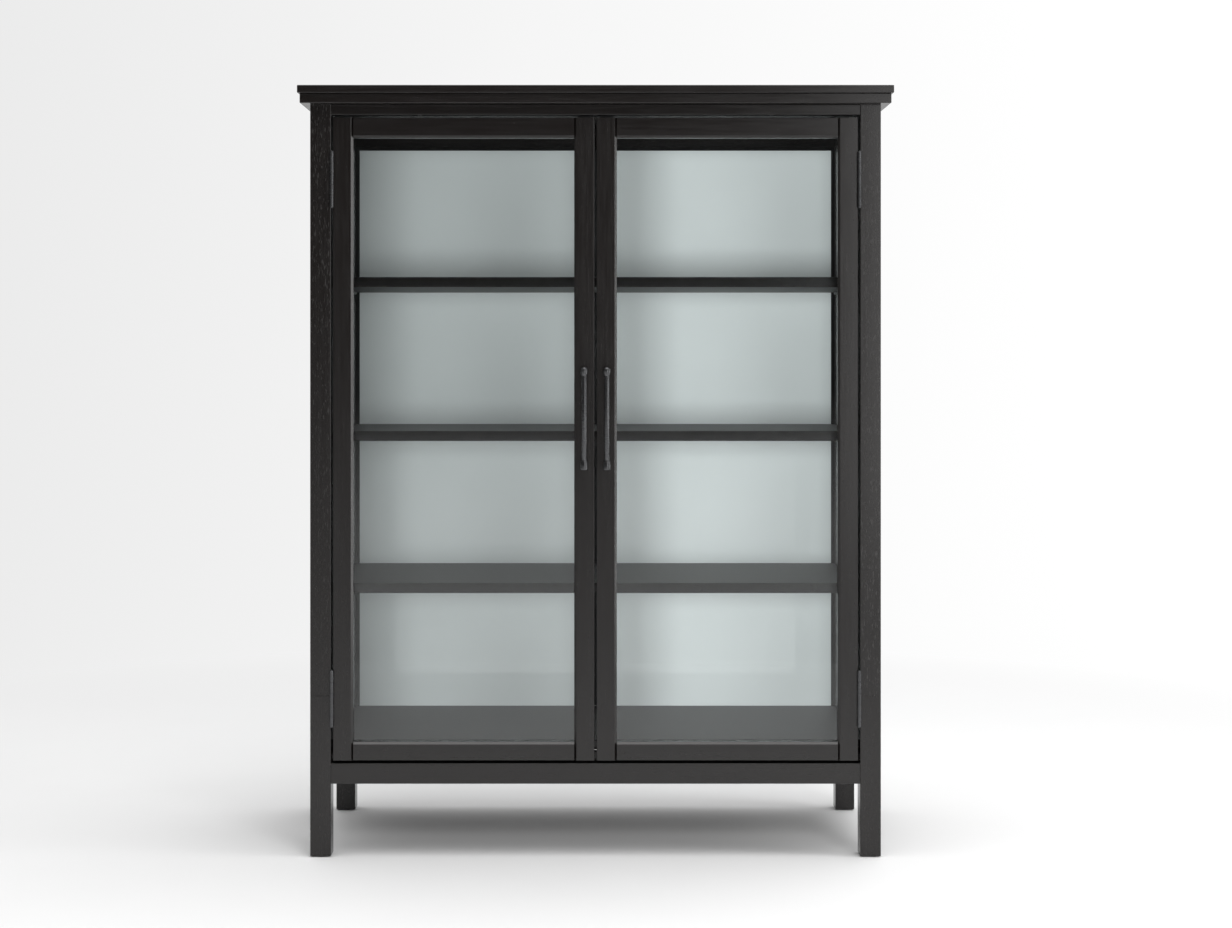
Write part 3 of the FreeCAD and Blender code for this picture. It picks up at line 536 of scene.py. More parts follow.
def show(tree, shader, out):
    """Put a shader on the surface."""
    tree.links.new(shader.outputs[0], out.inputs["Surface"])


def object_place(tree):
    """The place on the piece."""
    return new_node(tree, "ShaderNodeTexCoord").outputs["Object"]


def group_node(tree, make, inputs):
    """A shared group placed in a tree."""
    return new_node(tree, "ShaderNodeGroup", inputs, node_tree=shared_group(make))


def deepened(color, depth):
    """A colour brought nearer to black."""
    return [part * depth for part in color[:3]] + [1.0]


def stained_wood(name, along, openness, shift=(0, 0, 0), depth=1.0, matt=0.0):
    """Black-stained wood with its grain along an axis."""
    material, tree, out = new_material(name)
    place = object_place(tree)
    grains = {}
    for label, stretch in (("Long grain", STRETCH_LONG), ("Short grain", STRETCH_SHORT)):
        scale = [1.0, 1.0, 1.0]
        scale[AXES[along]] = stretch
        mapping = new_node(tree, "ShaderNodeMapping", {
            "Vector": place, "Location": shift, "Scale": scale})
        grains[label] = mapping.outputs["Vector"]
    look = finishes()
    # A depth below 1 brings the stain, streak and pore colours nearer to black: painted shade, used for
    # the shelves and for the faces in gaps.
    figure = group_node(tree, wood_figure, {
        **grains, "Stain": deepened(look.stain, depth), "Streak": deepened(look.streak, depth),
        "Pore": deepened(look.pore, depth), "Openness": openness,
    })
    roughness = maths(tree, "ADD", figure.outputs["Roughness"], matt, clamp=True)
    bump = new_node(tree, "ShaderNodeBump", {
        "Height": figure.outputs["Height"], "Strength": 0.12, "Distance": WOOD_RELIEF})
    surface = new_node(tree, "ShaderNodeBsdfPrincipled", {
        "Base Color": figure.outputs["Color"], "Roughness": roughness,
        "IOR": 1.5, "Normal": bump.outputs["Normal"],
    })
    show(tree, surface, out)
    return material


def mottled(name, color, depth, low, high, bump_depth, **sockets):
    """Lacquer, metal or plastic with a faint mottle."""
    material, tree, out = new_material(name)
    look = group_node(tree, fine_mottle, {
        "Vector": object_place(tree), "Color": color, "Depth": depth, "Low": low, "High": high})
    bump = new_node(tree, "ShaderNodeBump", {
        "Height": look.outputs["Height"], "Strength": 0.3, "Distance": bump_depth})
    surface = new_node(tree, "ShaderNodeBsdfPrincipled", {
        "Base Color": look.outputs["Color"], "Roughness": look.outputs["Roughness"],
        "Normal": bump.outputs["Normal"],
    })
    for label, value in sockets.items():
        surface.inputs[label.replace("_", " ")].default_value = value
    show(tree, surface, out)
    return material


def clear_glass():
    """Float glass that lets lamp light straight through."""
    material, tree, out = new_material("clear_glass")
    tint = finishes().glass
    clouds = noise(tree, object_place(tree), 3, 1)
    wave = new_node(tree, "ShaderNodeBump", {"Height": clouds, "Strength": 0.03, "Distance": 0.001})
    pane = new_node(tree, "ShaderNodeBsdfPrincipled", {
        "Base Color": tint, "Roughness": 0.0, "IOR": 1.45, "Transmission Weight": 1.0,
        "Normal": wave.outputs["Normal"],
    })
    through = new_node(tree, "ShaderNodeBsdfTransparent", {"Color": tint})
    path = new_node(tree, "ShaderNodeLightPath").outputs
    passing = maths(tree, "MAXIMUM", path["Is Shadow Ray"], path["Is Diffuse Ray"])
    mixed = new_node(tree, "ShaderNodeMixShader", {
        0: passing, 1: pane.outputs[0], 2: through.outputs[0]})
    show(tree, mixed, out)
    return material


def raw_beech():
    """Raw beech with short rays, for the dowels."""
    material, tree, out = new_material("raw_beech")
    mapping = new_node(tree, "ShaderNodeMapping", {"Vector": object_place(tree), "Scale": (0.2, 1, 1)})
    rays = ramp(tree, noise(tree, mapping.outputs["Vector"], 600, 2), 0.4, 0.7)
    pale = finishes().beech
    surface = new_node(tree, "ShaderNodeBsdfPrincipled", {
        "Base Color": blend_colors(tree, rays, pale, deepened(pale, 0.7)),
        "Roughness": ramp(tree, rays, 0, 1, 0.55, 0.7)})
    show(tree, surface, out)
    return material


MATERIALS = {}


def material_for(name):
    """A finish by its name. All are made the first time that one is asked for."""
    if not MATERIALS:
        look = finishes()
        MATERIALS.update({
            "post": stained_wood("stained_post", "z", 0.8),
            "leg": stained_wood("stained_leg", "z", 0.3, (0.37, 0.81, 0.0)),
            "upright": stained_wood("stained_upright", "z", 0.1, (1.7, 0.3, 0.0)),
            "across": stained_wood("stained_across", "x", 0.06, (0.0, 0.6, 0.2)),
            # Darker copies of the same stain for the shelves and the cabinet floor: painted shade inside
            # the case, the edges (0.45) darker than the tops and undersides (0.8).
            "shelf": stained_wood("stained_shelf_edges_painted_shade", "x", 0.06, (0.0, 1.1, 0.7), 0.45, -0.06),
            "shelf top": stained_wood("stained_shelf_top_painted_shade", "x", 0.06, (0.0, 1.1, 0.7), 0.8, 0.3),
            "deep": stained_wood("stained_deep", "y", 0.3, (0.9, 0.0, 0.4)),
            # A darker, rougher copy of the stain for faces in gaps and recesses: painted shade.
            "hidden": stained_wood("stained_gap_painted_shade", "z", 0.1, (0.2, 1.4, 0.0), 0.35, 0.6),
            "panel": mottled("lacquered_panel", look.panel, 0.03, 0.42, 0.5, 0.00003,
                             Coat_Weight=1.0, Coat_Roughness=0.04, Coat_IOR=1.5),
            "metal": mottled("dark_metal", look.dark_metal, 0.25, 0.22, 0.31, 0.00004, Metallic=0.85),
            "zinc": mottled("zinc_plate", look.zinc, 0.2, 0.25, 0.42, 0.00004, Metallic=1.0),
            "beech": raw_beech(),
            "black plastic": mottled("black_plastic", look.black_plastic, 0.15, 0.45, 0.6, 0.0001),
            "dark plastic": mottled("dark_plastic", look.dark_plastic, 0.2, 0.6, 0.75, 0.00006),
            "glass": clear_glass(),
        })
    return MATERIALS[name]


# The case.

class CABINET_OT_top(Operator):
    """Make the top board and the smaller board under it"""
    bl_idname = "cabinet.top"
    bl_label = "Top"

    def execute(self, context):
        for node in ("top_board", "under_board"):
            board(node, "x", sizes().top_arris, sizes().top_arris * 0.9, "across")
        return {"FINISHED"}


class CABINET_OT_posts(Operator):
    """Make the four posts and the four legs under them"""
    bl_idname = "cabinet.posts"
    bl_label = "Posts and legs"

    def execute(self, context):
        for side, sign in SIDES.items():
            for end in ("front", "back"):
                post = board(f"post_{end}_{side}", "z", sizes().arris, sizes().seam, "post")
                # Painted shade: the post's inner face takes the darker copy of the stain.
                finish_faces(post, "hidden", 0, [-sign])
                board(f"leg_{end}_{side}", "z", sizes().arris, sizes().seam, "leg")
        return {"FINISHED"}


class CABINET_OT_rails(Operator):
    """Make the front rails and the side rails, and finish the back rails"""
    bl_idname = "cabinet.rails"
    bl_label = "Rails"

    def execute(self, context):
        for node, sign in (("front_top_rail", -1), ("front_bottom_rail", 1)):
            rail = board(node, "x", sizes().arris, sizes().seam / 2, "across")
            # Painted shade: the rail's face towards the doors takes the darker copy of the stain.
            finish_faces(rail, "hidden", 2, [sign])
        for side in SIDES:
            for level in ("top", "bottom"):
                board(f"side_{level}_rail_{side}", "y", sizes().arris, sizes().seam / 2, "deep")
        finish_nodes(("back_top_rail", "back_bottom_rail"), "across")
        return {"FINISHED"}


def finish_nodes(names, finish):
    """Give frame pieces whose shape is already right their finish."""
    for node in names:
        cad = frame["nodes"][node]
        cad.data.materials.clear()
        cad.data.materials.append(material_for(finish))


class CABINET_OT_walls(Operator):
    """Finish the side panels, the back panels, their joint strip and beads"""
    bl_idname = "cabinet.walls"
    bl_label = "Side and back panels"

    def execute(self, context):
        finish_nodes([f"side_panel_{side}" for side in SIDES], "upright")
        finish_nodes([f"back_panel_{side}" for side in SIDES], "panel")
        finish_nodes(["back_joint_strip"], "dark plastic")
        # Painted shade: the back beads take the darker copy of the stain.
        finish_nodes(["back_beads"], "hidden")
        return {"FINISHED"}


class CABINET_OT_shelves(Operator):
    """Make the cabinet floor and the shelves, and finish the cleats"""
    bl_idname = "cabinet.shelves"
    bl_label = "Floor and shelves"

    def execute(self, context):
        for node in ("cabinet_floor", "shelf_low", "shelf_mid", "shelf_high"):
            # Painted shade: the shelves and floor take darker copies of the stain than the case, their
            # edges darker than their tops and undersides.
            shelf = board(node, "x", sizes().shelf_arris, sizes().seam, "shelf")
            finish_faces(shelf, "shelf top", 2, [-1, 1])
        finish_nodes(["floor_cleats"], "across")
        return {"FINISHED"}


# The doors.

def door_stile(side, role):
    """A stile: a front lip, a back narrower by the glass rebate, and a bevel towards the glass."""
    node = f"{role}_stile_{side}"
    low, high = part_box(node)
    glass_low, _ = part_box(f"door_glass_{side}")
    beads_low, beads_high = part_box(f"glass_beads_{side}")
    opens_to = SIDES[side] if role == "lock" else -SIDES[side]
    inner_x = high.x if opens_to > 0 else low.x
    rebate_x = min(beads_low.x, beads_high.x, key=lambda edge_x: abs(edge_x - inner_x))
    start_box(low, (high.x, glass_low.y, high.z))
    saw((rebate_x, 0, 0), (1, 0, 0))
    pick("FACE", lambda face: faces_to(face, 1, 1)
         and (rebate_x - face.calc_center_median().x) * opens_to > 0)
    push_picked((0, high.y - glass_low.y, 0))
    pick_edges(2, (0, inner_x), (1, low.y))
    round_picked(sizes().door_bevel, 1)
    outer_x = low.x if opens_to > 0 else high.x
    pick_edges(2, (0, outer_x))
    round_picked(sizes().arris)
    for level in (low.z, high.z):
        pick_edges(None, (2, level), (1, low.y))
        round_picked(sizes().seam, 2)
    # Painted shade: the stile's outer edge, in the gap, takes the darker copy of the stain.
    finish_faces(keep(smooth_flats(), node, "upright"), "hidden", 0, [-opens_to])


def door_rail(side, level):
    """A rail: a lip between the stiles, and a back that runs on into their rebates."""
    node = f"door_{level}_rail_{side}"
    low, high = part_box(node)
    glass_low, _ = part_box(f"door_glass_{side}")
    beads_low, beads_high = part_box(f"glass_beads_{side}")
    lock_low, lock_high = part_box(f"lock_stile_{side}")
    hinge_low, hinge_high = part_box(f"hinge_stile_{side}")
    left_x = min(lock_high.x, hinge_high.x)
    right_x = max(lock_low.x, hinge_low.x)
    rebate_z = beads_low.z if level == "bottom" else beads_high.z
    inner_z = high.z if level == "bottom" else low.z
    away = -1 if level == "bottom" else 1
    start_box((left_x, low.y, low.z), (right_x, glass_low.y, high.z))
    saw((0, 0, rebate_z), (0, 0, 1))
    pick("FACE", lambda face: faces_to(face, 1, 1)
         and (face.calc_center_median().z - rebate_z) * away > 0)
    push_picked((0, high.y - glass_low.y, 0))
    for sign, end_x in ((-1, beads_low.x), (1, beads_high.x)):
        pick("FACE", lambda face: faces_to(face, 0, sign) and face.calc_center_median().y > glass_low.y)
        push_picked((end_x - (left_x if sign < 0 else right_x), 0, 0))
    pick_edges(0, (2, inner_z), (1, low.y))
    round_picked(sizes().door_bevel, 1)
    outer_z = low.z if level == "bottom" else high.z
    pick_edges(0, (2, outer_z), (1, low.y))
    round_picked(sizes().arris)
    # Painted shade: the rail's outer edge, in the gap, takes the darker copy of the stain.
    finish_faces(keep(smooth_flats(), node, "across"), "hidden", 2, [away])


class CABINET_OT_door_frames(Operator):
    """Make the stiles and rails of both doors"""
    bl_idname = "cabinet.door_frames"
    bl_label = "Door frames"

    def execute(self, context):
        for side in SIDES:
            for role in ("hinge", "lock"):
                door_stile(side, role)
            for level in ("top", "bottom"):
                door_rail(side, level)
        return {"FINISHED"}


def mitred_bead(low, high, along, inner):
    """A bead with both ends sawn at 45 degrees towards the pane, its inner back edge rounded."""
    axis = AXES[along]
    across = 2 - axis
    start_box(low, high)
    for sign, end in ((-1, low), (1, high)):
        normal = Vector((0, 0, 0))
        normal[axis] = sign
        normal[across] = inner
        point = Vector(end)
        point[across] = low[across] if inner > 0 else high[across]
        saw(point, normal, fill=True, waste=True)
    inner_level = high[across] if inner > 0 else low[across]
    pick_edges(axis, (across, inner_level), (1, high.y))
    round_picked(sizes().bead_round, 4)
    return smooth_flats()


class CABINET_OT_glass(Operator):
    """Make the panes and the mitred beads that hold them"""
    bl_idname = "cabinet.glass"
    bl_label = "Glass"

    def execute(self, context):
        for side in SIDES:
            node = f"door_glass_{side}"
            start_box(*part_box(node))
            pick_edges(None)
            round_picked(sizes().pane_edge, 1)
            keep(smooth_flats(), node, "glass")
            self.beads(side)
        return {"FINISHED"}

    def beads(self, side):
        """Four beads round a pane."""
        node = f"glass_beads_{side}"
        low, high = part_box(node)
        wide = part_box(f"door_bottom_rail_{side}")[1].z - low.z
        made = [
            mitred_bead(low, Vector((high.x, high.y, low.z + wide)), "x", 1),
            mitred_bead(Vector((low.x, low.y, high.z - wide)), high, "x", -1),
            mitred_bead(low, Vector((low.x + wide, high.y, high.z)), "z", 1),
            mitred_bead(Vector((high.x - wide, low.y, low.z)), high, "z", -1),
        ]
        keep(join(made), node, "upright")


# Handles, hinges and small fittings.

def handle_profile(length, bar, collar):
    """Heights and radii of a handle: a flared foot, a ring, a slim bar, a ring and a domed head."""
    neck = bar * 0.94
    foot = [(0, collar * 0.86), (0.0007, collar * 0.96), (0.002, collar), (0.008, collar * 0.985),
            (0.0125, collar * 0.9), (0.0158, collar * 0.79), (0.0172, bar * 1.04), (0.0178, neck),
            (0.0186, neck), (0.0192, bar)]
    dome = [(0.0004, collar * 0.18), (0.0008, collar * 0.45), (0.0019, collar * 0.72),
            (0.0036, collar * 0.91), (0.0058, collar * 0.995), (0.0085, collar), (0.0115, collar * 0.95),
            (0.0142, collar * 0.83), (0.0157, bar * 1.06), (0.0163, neck), (0.0170, neck), (0.0176, bar)]
    head = [(length - depth, radius) for depth, radius in reversed(dome)]
    return foot + head + [(length, collar * 0.06)]


class CABINET_OT_handles(Operator):
    """Make the two bar handles, each on two feet with a small rose"""
    bl_idname = "cabinet.handles"
    bl_label = "Handles"

    def execute(self, context):
        for side in SIDES:
            node = f"handle_{side}"
            low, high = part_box(node)
            collar = (high.x - low.x) / 2
            bar = collar * 0.7
            axis_x = (low.x + high.x) / 2
            axis_y = low.y + collar
            pattern = turned_piece(handle_profile(high.z - low.z, bar, collar))
            upright = copies(pattern, [(axis_x, axis_y, low.z)])
            reach = high.y - axis_y
            foot = [(0, bar * 0.9), (reach - 0.0040, bar * 0.95), (reach - 0.0028, bar * 1.12),
                    (reach - 0.0024, collar * 0.93), (reach - 0.0019, collar), (reach, collar)]
            heights = [middle_of(box).z for box in solids_of(f"handle_screws_{side}")]
            feet = copies(turned_piece(foot), [(axis_x, axis_y, height) for height in heights], "+y")
            keep(join(upright + feet), node, "metal")
        return {"FINISHED"}


KNUCKLES = 5
KNUCKLE_GAP = 0.0002
LEAF_THICKNESS = 0.0014
LEAF_CORNER = 0.003
LEAF_FROM_BARREL = 0.0003
WEB_LAP = 0.0006
WEB_EDGE = 0.0002
PIN_RADIUS = 0.0015
PIN_CAP = 0.0015


def pin_of(leaf_box):
    """The middle of the pin that a leaf turns on, and the barrel's radius."""
    leaf = middle_of(leaf_box)
    pin = min(map(middle_of, solids_of("hinge_pins")), key=lambda middle: (middle - leaf).length)
    return pin, pin.y - leaf_box[0].y


def hinge_leaf(leaf_box, knuckles, hang_left):
    """One leaf: a thin plate with rounded corners, and its share of the rolled knuckles."""
    low, high = leaf_box
    pin, barrel = pin_of(leaf_box)
    plate_x = (high.x - LEAF_THICKNESS, high.x) if hang_left else (low.x, low.x + LEAF_THICKNESS)
    start_box((plate_x[0], pin.y + barrel + LEAF_FROM_BARREL, low.z), (plate_x[1], high.y, high.z))
    pick_edges(0, (1, high.y))
    round_picked(LEAF_CORNER, 4)
    made = [smooth_flats()]
    tall = (high.z - low.z - (KNUCKLES - 1) * KNUCKLE_GAP) / KNUCKLES
    ease = sizes().metal_edge
    pattern = turned_piece(both_ends([(0, barrel - ease), (ease, barrel)], tall))
    for index in knuckles:
        foot = low.z + index * (tall + KNUCKLE_GAP)
        made.append(copy_to(pattern, (pin.x, pin.y, foot)))
        start_box((plate_x[0], pin.y, foot), (plate_x[1], pin.y + barrel + WEB_LAP, foot + tall))
        pick_edges(1)
        round_picked(WEB_EDGE, 1)
        made.append(smooth_flats())
    discard(pattern)
    return made


class CABINET_OT_hinges(Operator):
    """Make the hinge leaves of posts and doors, and their pins"""
    bl_idname = "cabinet.hinges"
    bl_label = "Hinges"

    def execute(self, context):
        self.pins()
        on_posts = []
        for leaf_box in solids_of("post_hinge_leaves"):
            on_posts += hinge_leaf(leaf_box, range(0, KNUCKLES, 2), leaf_box[0].x > 0)
        keep(join(on_posts), "post_hinge_leaves", "metal")
        for side, sign in SIDES.items():
            node = f"door_hinge_leaves_{side}"
            made = []
            for leaf_box in solids_of(node):
                made += hinge_leaf(leaf_box, range(1, KNUCKLES, 2), sign < 0)
            keep(join(made), node, "metal")
        return {"FINISHED"}

    def pins(self):
        """Pins with a rounded cap at each end."""
        boxes = solids_of("hinge_pins")
        low, high = boxes[0]
        cap = (high.x - low.x) / 2
        profile = [(0, cap * 0.3), (0.0003, cap * 0.7), (0.0008, cap * 0.94), (0.0012, cap),
                   (PIN_CAP, cap), (PIN_CAP, PIN_RADIUS)]
        pattern = turned_piece(both_ends(profile, high.z - low.z), 28)
        places = [(middle_of(box).x, middle_of(box).y, box[0].z) for box in boxes]
        keep(join(copies(pattern, places)), "hinge_pins", "metal")


def cross_driver(width, reach, depth):
    """The cross-shaped room that a driver needs, as a tapered cutter at the top of a screw."""
    arms = []
    for long_axis in (0, 1):
        half = Vector((width / 2, width / 2, 0))
        half[long_axis] = reach / 2
        start_box((-half.x, -half.y, -depth), (half.x, half.y, depth))
        pick("FACE", lambda face: faces_to(face, 2, -1))
        scale_picked(0.5, -depth)
        bpy.ops.object.mode_set(mode="OBJECT")
        arms.append(bpy.context.object)
    return arms


def screw(profile, head_radius):
    """A screw along -Z with its head's top at the origin, turned and then cut for a cross driver."""
    body = turned_piece(profile[::-1], 24)
    for arm in cross_driver(head_radius * 0.3, head_radius * 1.15, head_radius * 0.4):
        choose([body])
        bpy.ops.object.modifier_add(type="BOOLEAN")
        body.modifiers[-1].operation = "DIFFERENCE"
        body.modifiers[-1].object = arm
        bpy.ops.object.modifier_apply(modifier=body.modifiers[-1].name)
        discard(arm)
    return body


def screw_size(box, axis):
    """A screw's length and its head's radius, from its solid's own size."""
    size = box[1] - box[0]
    return size[axis], size[2 if axis != 2 else 0] / 2


def countersunk(box, axis):
    """A countersunk screw's profile and its head's radius."""
    length, head = screw_size(box, axis)
    shank = head * 0.5
    return [(0, head), (-head * 0.12, head), (-head * 0.6, shank), (-length * 0.85, shank),
            (-length, shank * 0.25)], head


def round_head(box, axis, rise):
    """A round-headed screw's profile and its head's radius, for a head of a given rise."""
    length, head = screw_size(box, axis)
    shank = head * 0.45
    return [(0, head * 0.55), (-rise * 0.16, head * 0.78), (-rise * 0.42, head * 0.94),
            (-rise * 0.75, head), (-rise, head), (-rise, shank), (-length * 0.93, shank),
            (-length, shank * 0.4)], head


class CABINET_OT_screws(Operator):
    """Make every screw, with a cross recess in its head"""
    bl_idname = "cabinet.screws"
    bl_label = "Screws"

    def execute(self, context):
        for side, sign in SIDES.items():
            inwards = "+x" if sign > 0 else "-x"
            self.drive(f"door_hinge_screws_{side}", lambda box: inwards, "metal")
            self.drive(f"handle_screws_{side}", lambda box: "+y", "zinc", rise=0.0025)
        self.drive("post_hinge_screws", lambda box: "-x" if box[0].x > 0 else "+x", "metal")
        self.drive("back_panel_screws", lambda box: "+y", "zinc", rise=0.002)
        self.drive("case_screws", self.case_heading, "zinc")
        return {"FINISHED"}

    def case_heading(self, box):
        """Which way a case screw's head looks."""
        low, high = box
        size = high - low
        if size.z > max(size.x, size.y):
            return "-z"
        if size.y > size.x:
            return "+y"
        return "-x" if low.x > 0 else "+x"

    def drive(self, node, heading_of, finish, rise=None):
        """Copies of one screw in the places of a node's solids."""
        made = []
        patterns = {}
        for box in solids_of(node):
            heading = heading_of(box)
            axis = AXES[heading[1]]
            if axis not in patterns:
                profile, head = round_head(box, axis, rise) if rise else countersunk(box, axis)
                patterns[axis] = screw(profile, head)
            place = middle_of(box)
            place[axis] = box[1][axis] if heading[0] == "+" else box[0][axis]
            made.append(copy_to(patterns[axis], place, heading))
        for pattern in patterns.values():
            discard(pattern)
        keep(join(made), node, finish)


GLIDE_DISC = 0.002
GLIDE_NAIL = 0.0025
GLIDE_POINT = 0.003


class CABINET_OT_fittings(Operator):
    """Make the glides, shelf pins and strike plates, and finish the catches and dowels"""
    bl_idname = "cabinet.fittings"
    bl_label = "Small fittings"

    def execute(self, context):
        self.glides()
        self.shelf_pins()
        for side in SIDES:
            self.strike_plate(f"strike_plate_{side}")
        finish_nodes(["magnetic_catches"], "black plastic")
        finish_nodes(["dowels"], "beech")
        return {"FINISHED"}

    def glides(self):
        """A soft-edged disc on a nail under each leg."""
        boxes = solids_of("foot_glides")
        low, high = boxes[0]
        length = high.z - low.z
        disc = (high.x - low.x) / 2
        profile = [(0, disc - 0.0008), (0.0003, disc - 0.0002), (0.0009, disc), (GLIDE_DISC, disc),
                   (GLIDE_DISC, GLIDE_NAIL), (length - GLIDE_POINT, GLIDE_NAIL), (length, 0.0004)]
        places = [(middle_of(box).x, middle_of(box).y, box[0].z) for box in boxes]
        keep(join(copies(turned_piece(profile), places)), "foot_glides", "black plastic")

    def shelf_pins(self):
        """Round pins with eased ends."""
        boxes = solids_of("shelf_pins")
        low, high = boxes[0]
        radius = (high.z - low.z) / 2
        ease = radius * 0.25
        pattern = turned_piece(both_ends([(0, radius - ease), (ease, radius)], high.x - low.x), 24)
        places = [(box[0].x, middle_of(box).y, middle_of(box).z) for box in boxes]
        keep(join(copies(pattern, places, "+x")), "shelf_pins", "zinc")

    def strike_plate(self, node):
        """A thin plate with round corners and a soft back edge."""
        low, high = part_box(node)
        start_box(low, high)
        pick_edges(1)
        round_picked(sizes().plate_corner, 4)
        pick_edges(None, (1, high.y))
        round_picked(sizes().metal_edge, 2)
        keep(smooth_flats(), node, "zinc")


# The studio.

WALL_RINGS = ((0.05, 0.3), (0.15, 0.25), (0.3, 0.2), (0.5, 0.1), (3.0, 0.0))
RIM_SIDES = 96
SKY_SEEN = 0.95


def add_rim(name, fill):
    """A circle as wide as the floor, named, with its object active."""
    clear_selection()
    bpy.ops.mesh.primitive_circle_add(vertices=RIM_SIDES, radius=studio().sweep_radius, fill_type=fill)
    bpy.context.object.name = name
    return bpy.context.object


def add_softbox(name, place, target, width, height, power):
    """A rectangular soft light aimed at a point, itself out of the camera's sight."""
    clear_selection()
    bpy.ops.object.light_add(type="AREA", location=place)
    lamp = bpy.context.object
    lamp.name = name
    lamp.data.shape = "RECTANGLE"
    lamp.data.size = width
    lamp.data.size_y = height
    lamp.data.energy = power
    lamp.visible_camera = False
    lamp.rotation_euler = (Vector(target) - Vector(place)).to_track_quat("-Z", "Y").to_euler()
    return lamp


def backdrop_light(tree, place):
    """The even white of the backdrop, a little dimmer on the left."""
    across = new_node(tree, "ShaderNodeSeparateXYZ", {0: place}).outputs["X"]
    return ramp(tree, across, -2.0, 2.0, 0.83, 1.03)


def seen_from_inside(tree, shader, out, reflected=True):
    """Show a shader on a surface's near side, nothing on its far side, and maybe no reflection."""
    hidden = new_node(tree, "ShaderNodeNewGeometry").outputs["Backfacing"]
    if not reflected:
        bounces = new_node(tree, "ShaderNodeLightPath").outputs["Glossy Depth"]
        hidden = maths(tree, "MAXIMUM", hidden, bounces, clamp=True)
    clear = new_node(tree, "ShaderNodeBsdfTransparent")
    mixed = new_node(tree, "ShaderNodeMixShader", {0: hidden, 1: shader, 2: clear.outputs[0]})
    show(tree, mixed, out)


class CABINET_OT_studio(Operator):
    """Make the floor, the backdrop, the lights and the camera"""
    bl_idname = "cabinet.studio"
    bl_label = "Studio"

    def execute(self, context):
        self.floor()
        self.wall()
        self.world(context.scene)
        self.lights()
        self.camera(context.scene)
        return {"FINISHED"}

    def floor(self):
        """A round pale floor whose rim fades into the wall."""
        radius = studio().sweep_radius
        piece = add_rim("studio_floor", "NGON")
        material, tree, out = new_material("studio_floor")
        place = object_place(tree)
        grain = noise(tree, place, 3, 2)
        paint = blend_colors(tree, grain, (0.80, 0.80, 0.80, 1), (0.83, 0.83, 0.83, 1))
        matt = new_node(tree, "ShaderNodeBsdfDiffuse", {"Color": paint})
        glow = new_node(tree, "ShaderNodeEmission", {"Strength": backdrop_light(tree, place)})
        away = new_node(tree, "ShaderNodeVectorMath", {0: place}, operation="LENGTH").outputs["Value"]
        rim = ramp(tree, away, radius * 0.45, radius * 0.96)
        lit = new_node(tree, "ShaderNodeMixShader", {0: rim, 1: matt.outputs[0], 2: glow.outputs[0]})
        seen_from_inside(tree, lit.outputs[0], out)
        piece.data.materials.append(material)

    def wall(self):
        """A round flared wall, plain to see, that neither lights the cabinet nor reflects in it."""
        piece = add_rim("studio_wall", "NOTHING")
        bpy.ops.object.mode_set(mode="EDIT")
        bpy.ops.mesh.select_all(action="SELECT")
        height, reach = 0.0, studio().sweep_radius
        for rise, spread in WALL_RINGS:
            push_picked((0, 0, rise))
            height += rise
            scale_picked((reach + spread) / reach, height)
            reach += spread
        face_outwards(inside=True)
        material, tree, out = new_material("studio_wall")
        strength = backdrop_light(tree, object_place(tree))
        glow = new_node(tree, "ShaderNodeEmission", {"Strength": strength})
        seen_from_inside(tree, glow.outputs[0], out, reflected=False)
        piece.data.materials.append(material)
        piece.visible_diffuse = False
        piece.visible_glossy = False
        piece.visible_shadow = False

    def world(self, scene):
        """A room that is dim in front, pale behind and overhead, and bright below the horizon."""
        world = bpy.data.worlds.new("studio_room")
        scene.world = world
        world.use_nodes = True
        tree = world.node_tree
        tree.nodes.clear()
        heading = new_node(tree, "ShaderNodeTexCoord").outputs["Generated"]
        part = new_node(tree, "ShaderNodeSeparateXYZ", {0: heading}).outputs
        room = ramp(tree, part["Y"], -0.6, 0.8, studio().room_front, studio().room_back)
        for axis, low, high, extra in (("X", -0.2, 0.9, studio().room_right),
                                       ("Z", 0.3, 0.9, studio().room_top)):
            room = maths(tree, "ADD", room, ramp(tree, part[axis], low, high, 0.0, extra))
        below = ramp(tree, part["Z"], -0.02, -0.085)
        lit = blend_values(tree, below, room, studio().room_below)
        shown = new_node(tree, "ShaderNodeLightPath").outputs["Is Camera Ray"]
        strength = blend_values(tree, shown, lit, SKY_SEEN)
        background = new_node(tree, "ShaderNodeBackground", {"Strength": strength})
        out = tree.nodes.new("ShaderNodeOutputWorld")
        show(tree, background, out)
        scene.view_settings.view_transform = "Standard"

    def lights(self):
        """Lights above, in front and at the side, and flagged ones for the doors and the floor."""
        power = studio()
        add_softbox("roof_light", (0.3, -0.3, 3.1), (0.0, 0.0, 0.0), 3.0, 2.4, power.roof_power)
        add_softbox("right_light", (1.55, -3.7, 1.25), (0.0, 0.0, 0.65), 1.15, 2.2, power.right_power)
        add_softbox("side_light", (3.2, -0.7, 1.0), (0.0, -0.2, 0.7), 0.8, 2.4, power.side_power)
        for side, watts in (("left", power.left_door_power), ("right", power.right_door_power)):
            target = (SIDES[side] * 0.25, 0.2, 0.65)
            lamp = add_softbox(f"{side}_door_light", (-0.45, -4.2, 0.75), target, 1.6, 1.1, watts)
            lamp.visible_glossy = False
            self.flag(lamp, [frame["nodes"][f"{name}_{side}"] for name in ("back_panel", "side_panel")])
        lamp = add_softbox("floor_light", (0.9, -4.0, 2.3), (0.0, -0.3, 0.0), 2.6, 1.2,
                           power.floor_power)
        self.flag(lamp, [bpy.data.objects["studio_floor"]])

    def flag(self, lamp, pieces):
        """Let a lamp fall on a few pieces and on nothing else."""
        lit = bpy.data.collections.new(f"{lamp.name}_falls_on")
        for piece in pieces:
            lit.objects.link(piece)
        lamp.light_linking.receiver_collection = lit

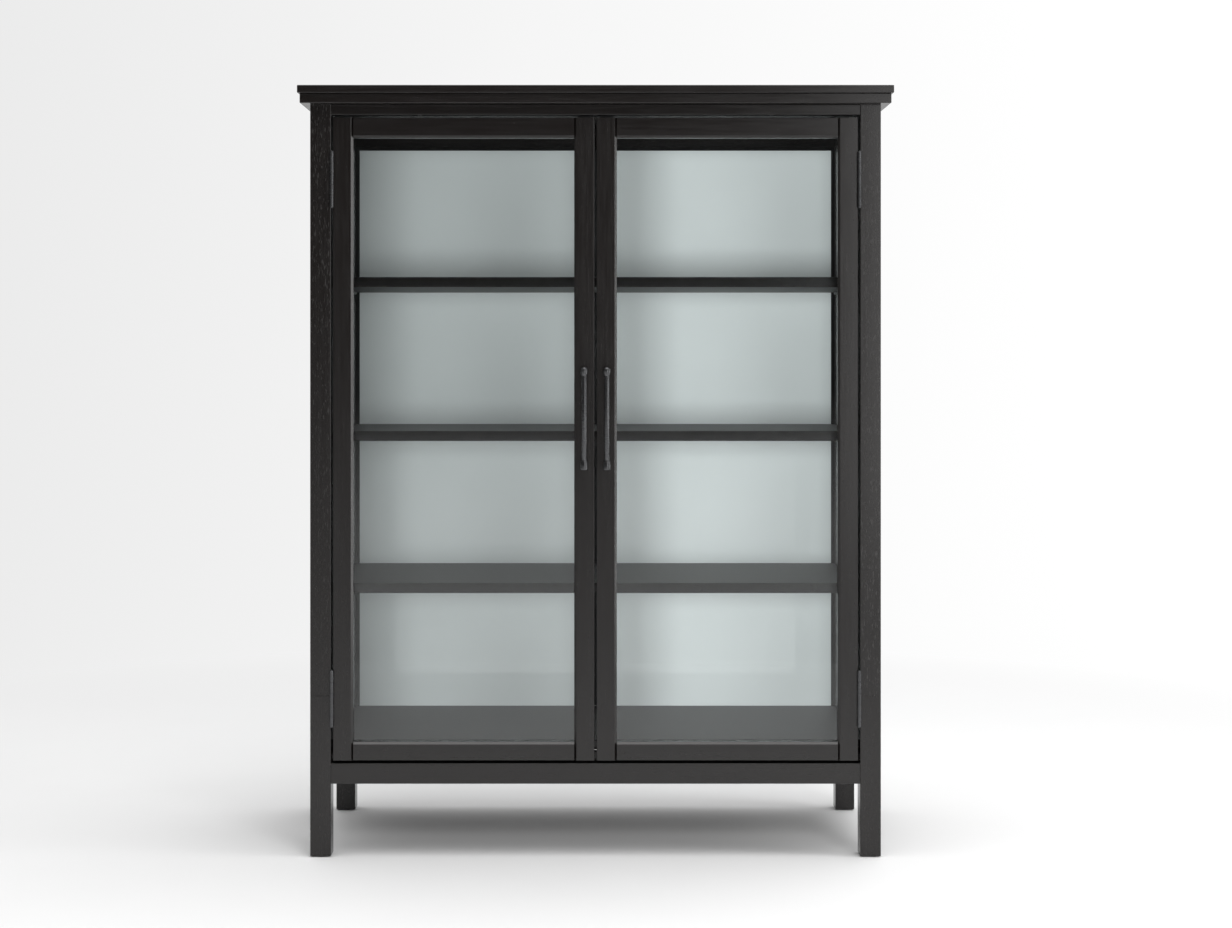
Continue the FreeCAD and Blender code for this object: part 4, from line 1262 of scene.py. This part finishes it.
    def camera(self, scene):
        """A level camera with a shifted lens."""
        clear_selection()
        bpy.ops.object.camera_add(location=studio().camera_place, rotation=(math.pi / 2, 0, 0))
        camera = bpy.context.object
        camera.name = "studio_camera"
        camera.data.sensor_width = 36
        camera.data.lens = studio().lens
        camera.data.shift_x, camera.data.shift_y = studio().shift
        scene.camera = camera


# The sidebar, and the order of work.

STEPS = ("top", "posts", "rails", "walls", "shelves", "door_frames", "glass", "handles", "hinges",
         "screws", "fittings", "studio")


class CABINET_PT_workshop(Panel):
    """The cabinet's pieces in the order in which they are made"""
    bl_idname = "CABINET_PT_workshop"
    bl_label = "China cabinet"
    bl_space_type = "VIEW_3D"
    bl_region_type = "UI"
    bl_category = "Cabinet"

    def draw(self, context):
        for step in STEPS:
            self.layout.operator(f"cabinet.{step}")
        for group in (context.scene.cabinet_sizes, context.scene.cabinet_finishes,
                      context.scene.cabinet_studio):
            box = self.layout.box()
            for name in type(group).__annotations__:
                box.prop(group, name)


SETTINGS = {
    "cabinet_sizes": CabinetSizes,
    "cabinet_finishes": CabinetFinishes,
    "cabinet_studio": CabinetStudio,
}
CLASSES = (
    CabinetSizes, CabinetFinishes, CabinetStudio,
    CABINET_OT_top, CABINET_OT_posts, CABINET_OT_rails, CABINET_OT_walls, CABINET_OT_shelves,
    CABINET_OT_door_frames, CABINET_OT_glass, CABINET_OT_handles, CABINET_OT_hinges,
    CABINET_OT_screws, CABINET_OT_fittings, CABINET_OT_studio, CABINET_PT_workshop,
)


def register():
    """Add the classes and the settings to Blender."""
    for entry in CLASSES:
        bpy.utils.register_class(entry)
    for name, group in SETTINGS.items():
        setattr(bpy.types.Scene, name, PointerProperty(type=group))


def unregister():
    """Take the settings and the classes out again."""
    for name in SETTINGS:
        delattr(bpy.types.Scene, name)
    for entry in reversed(CLASSES):
        bpy.utils.unregister_class(entry)


def main():
    """Make everything in order."""
    register()
    for step in STEPS:
        getattr(bpy.ops.cabinet, step)()
    clear_selection()


if __name__ == "__main__":
    main()
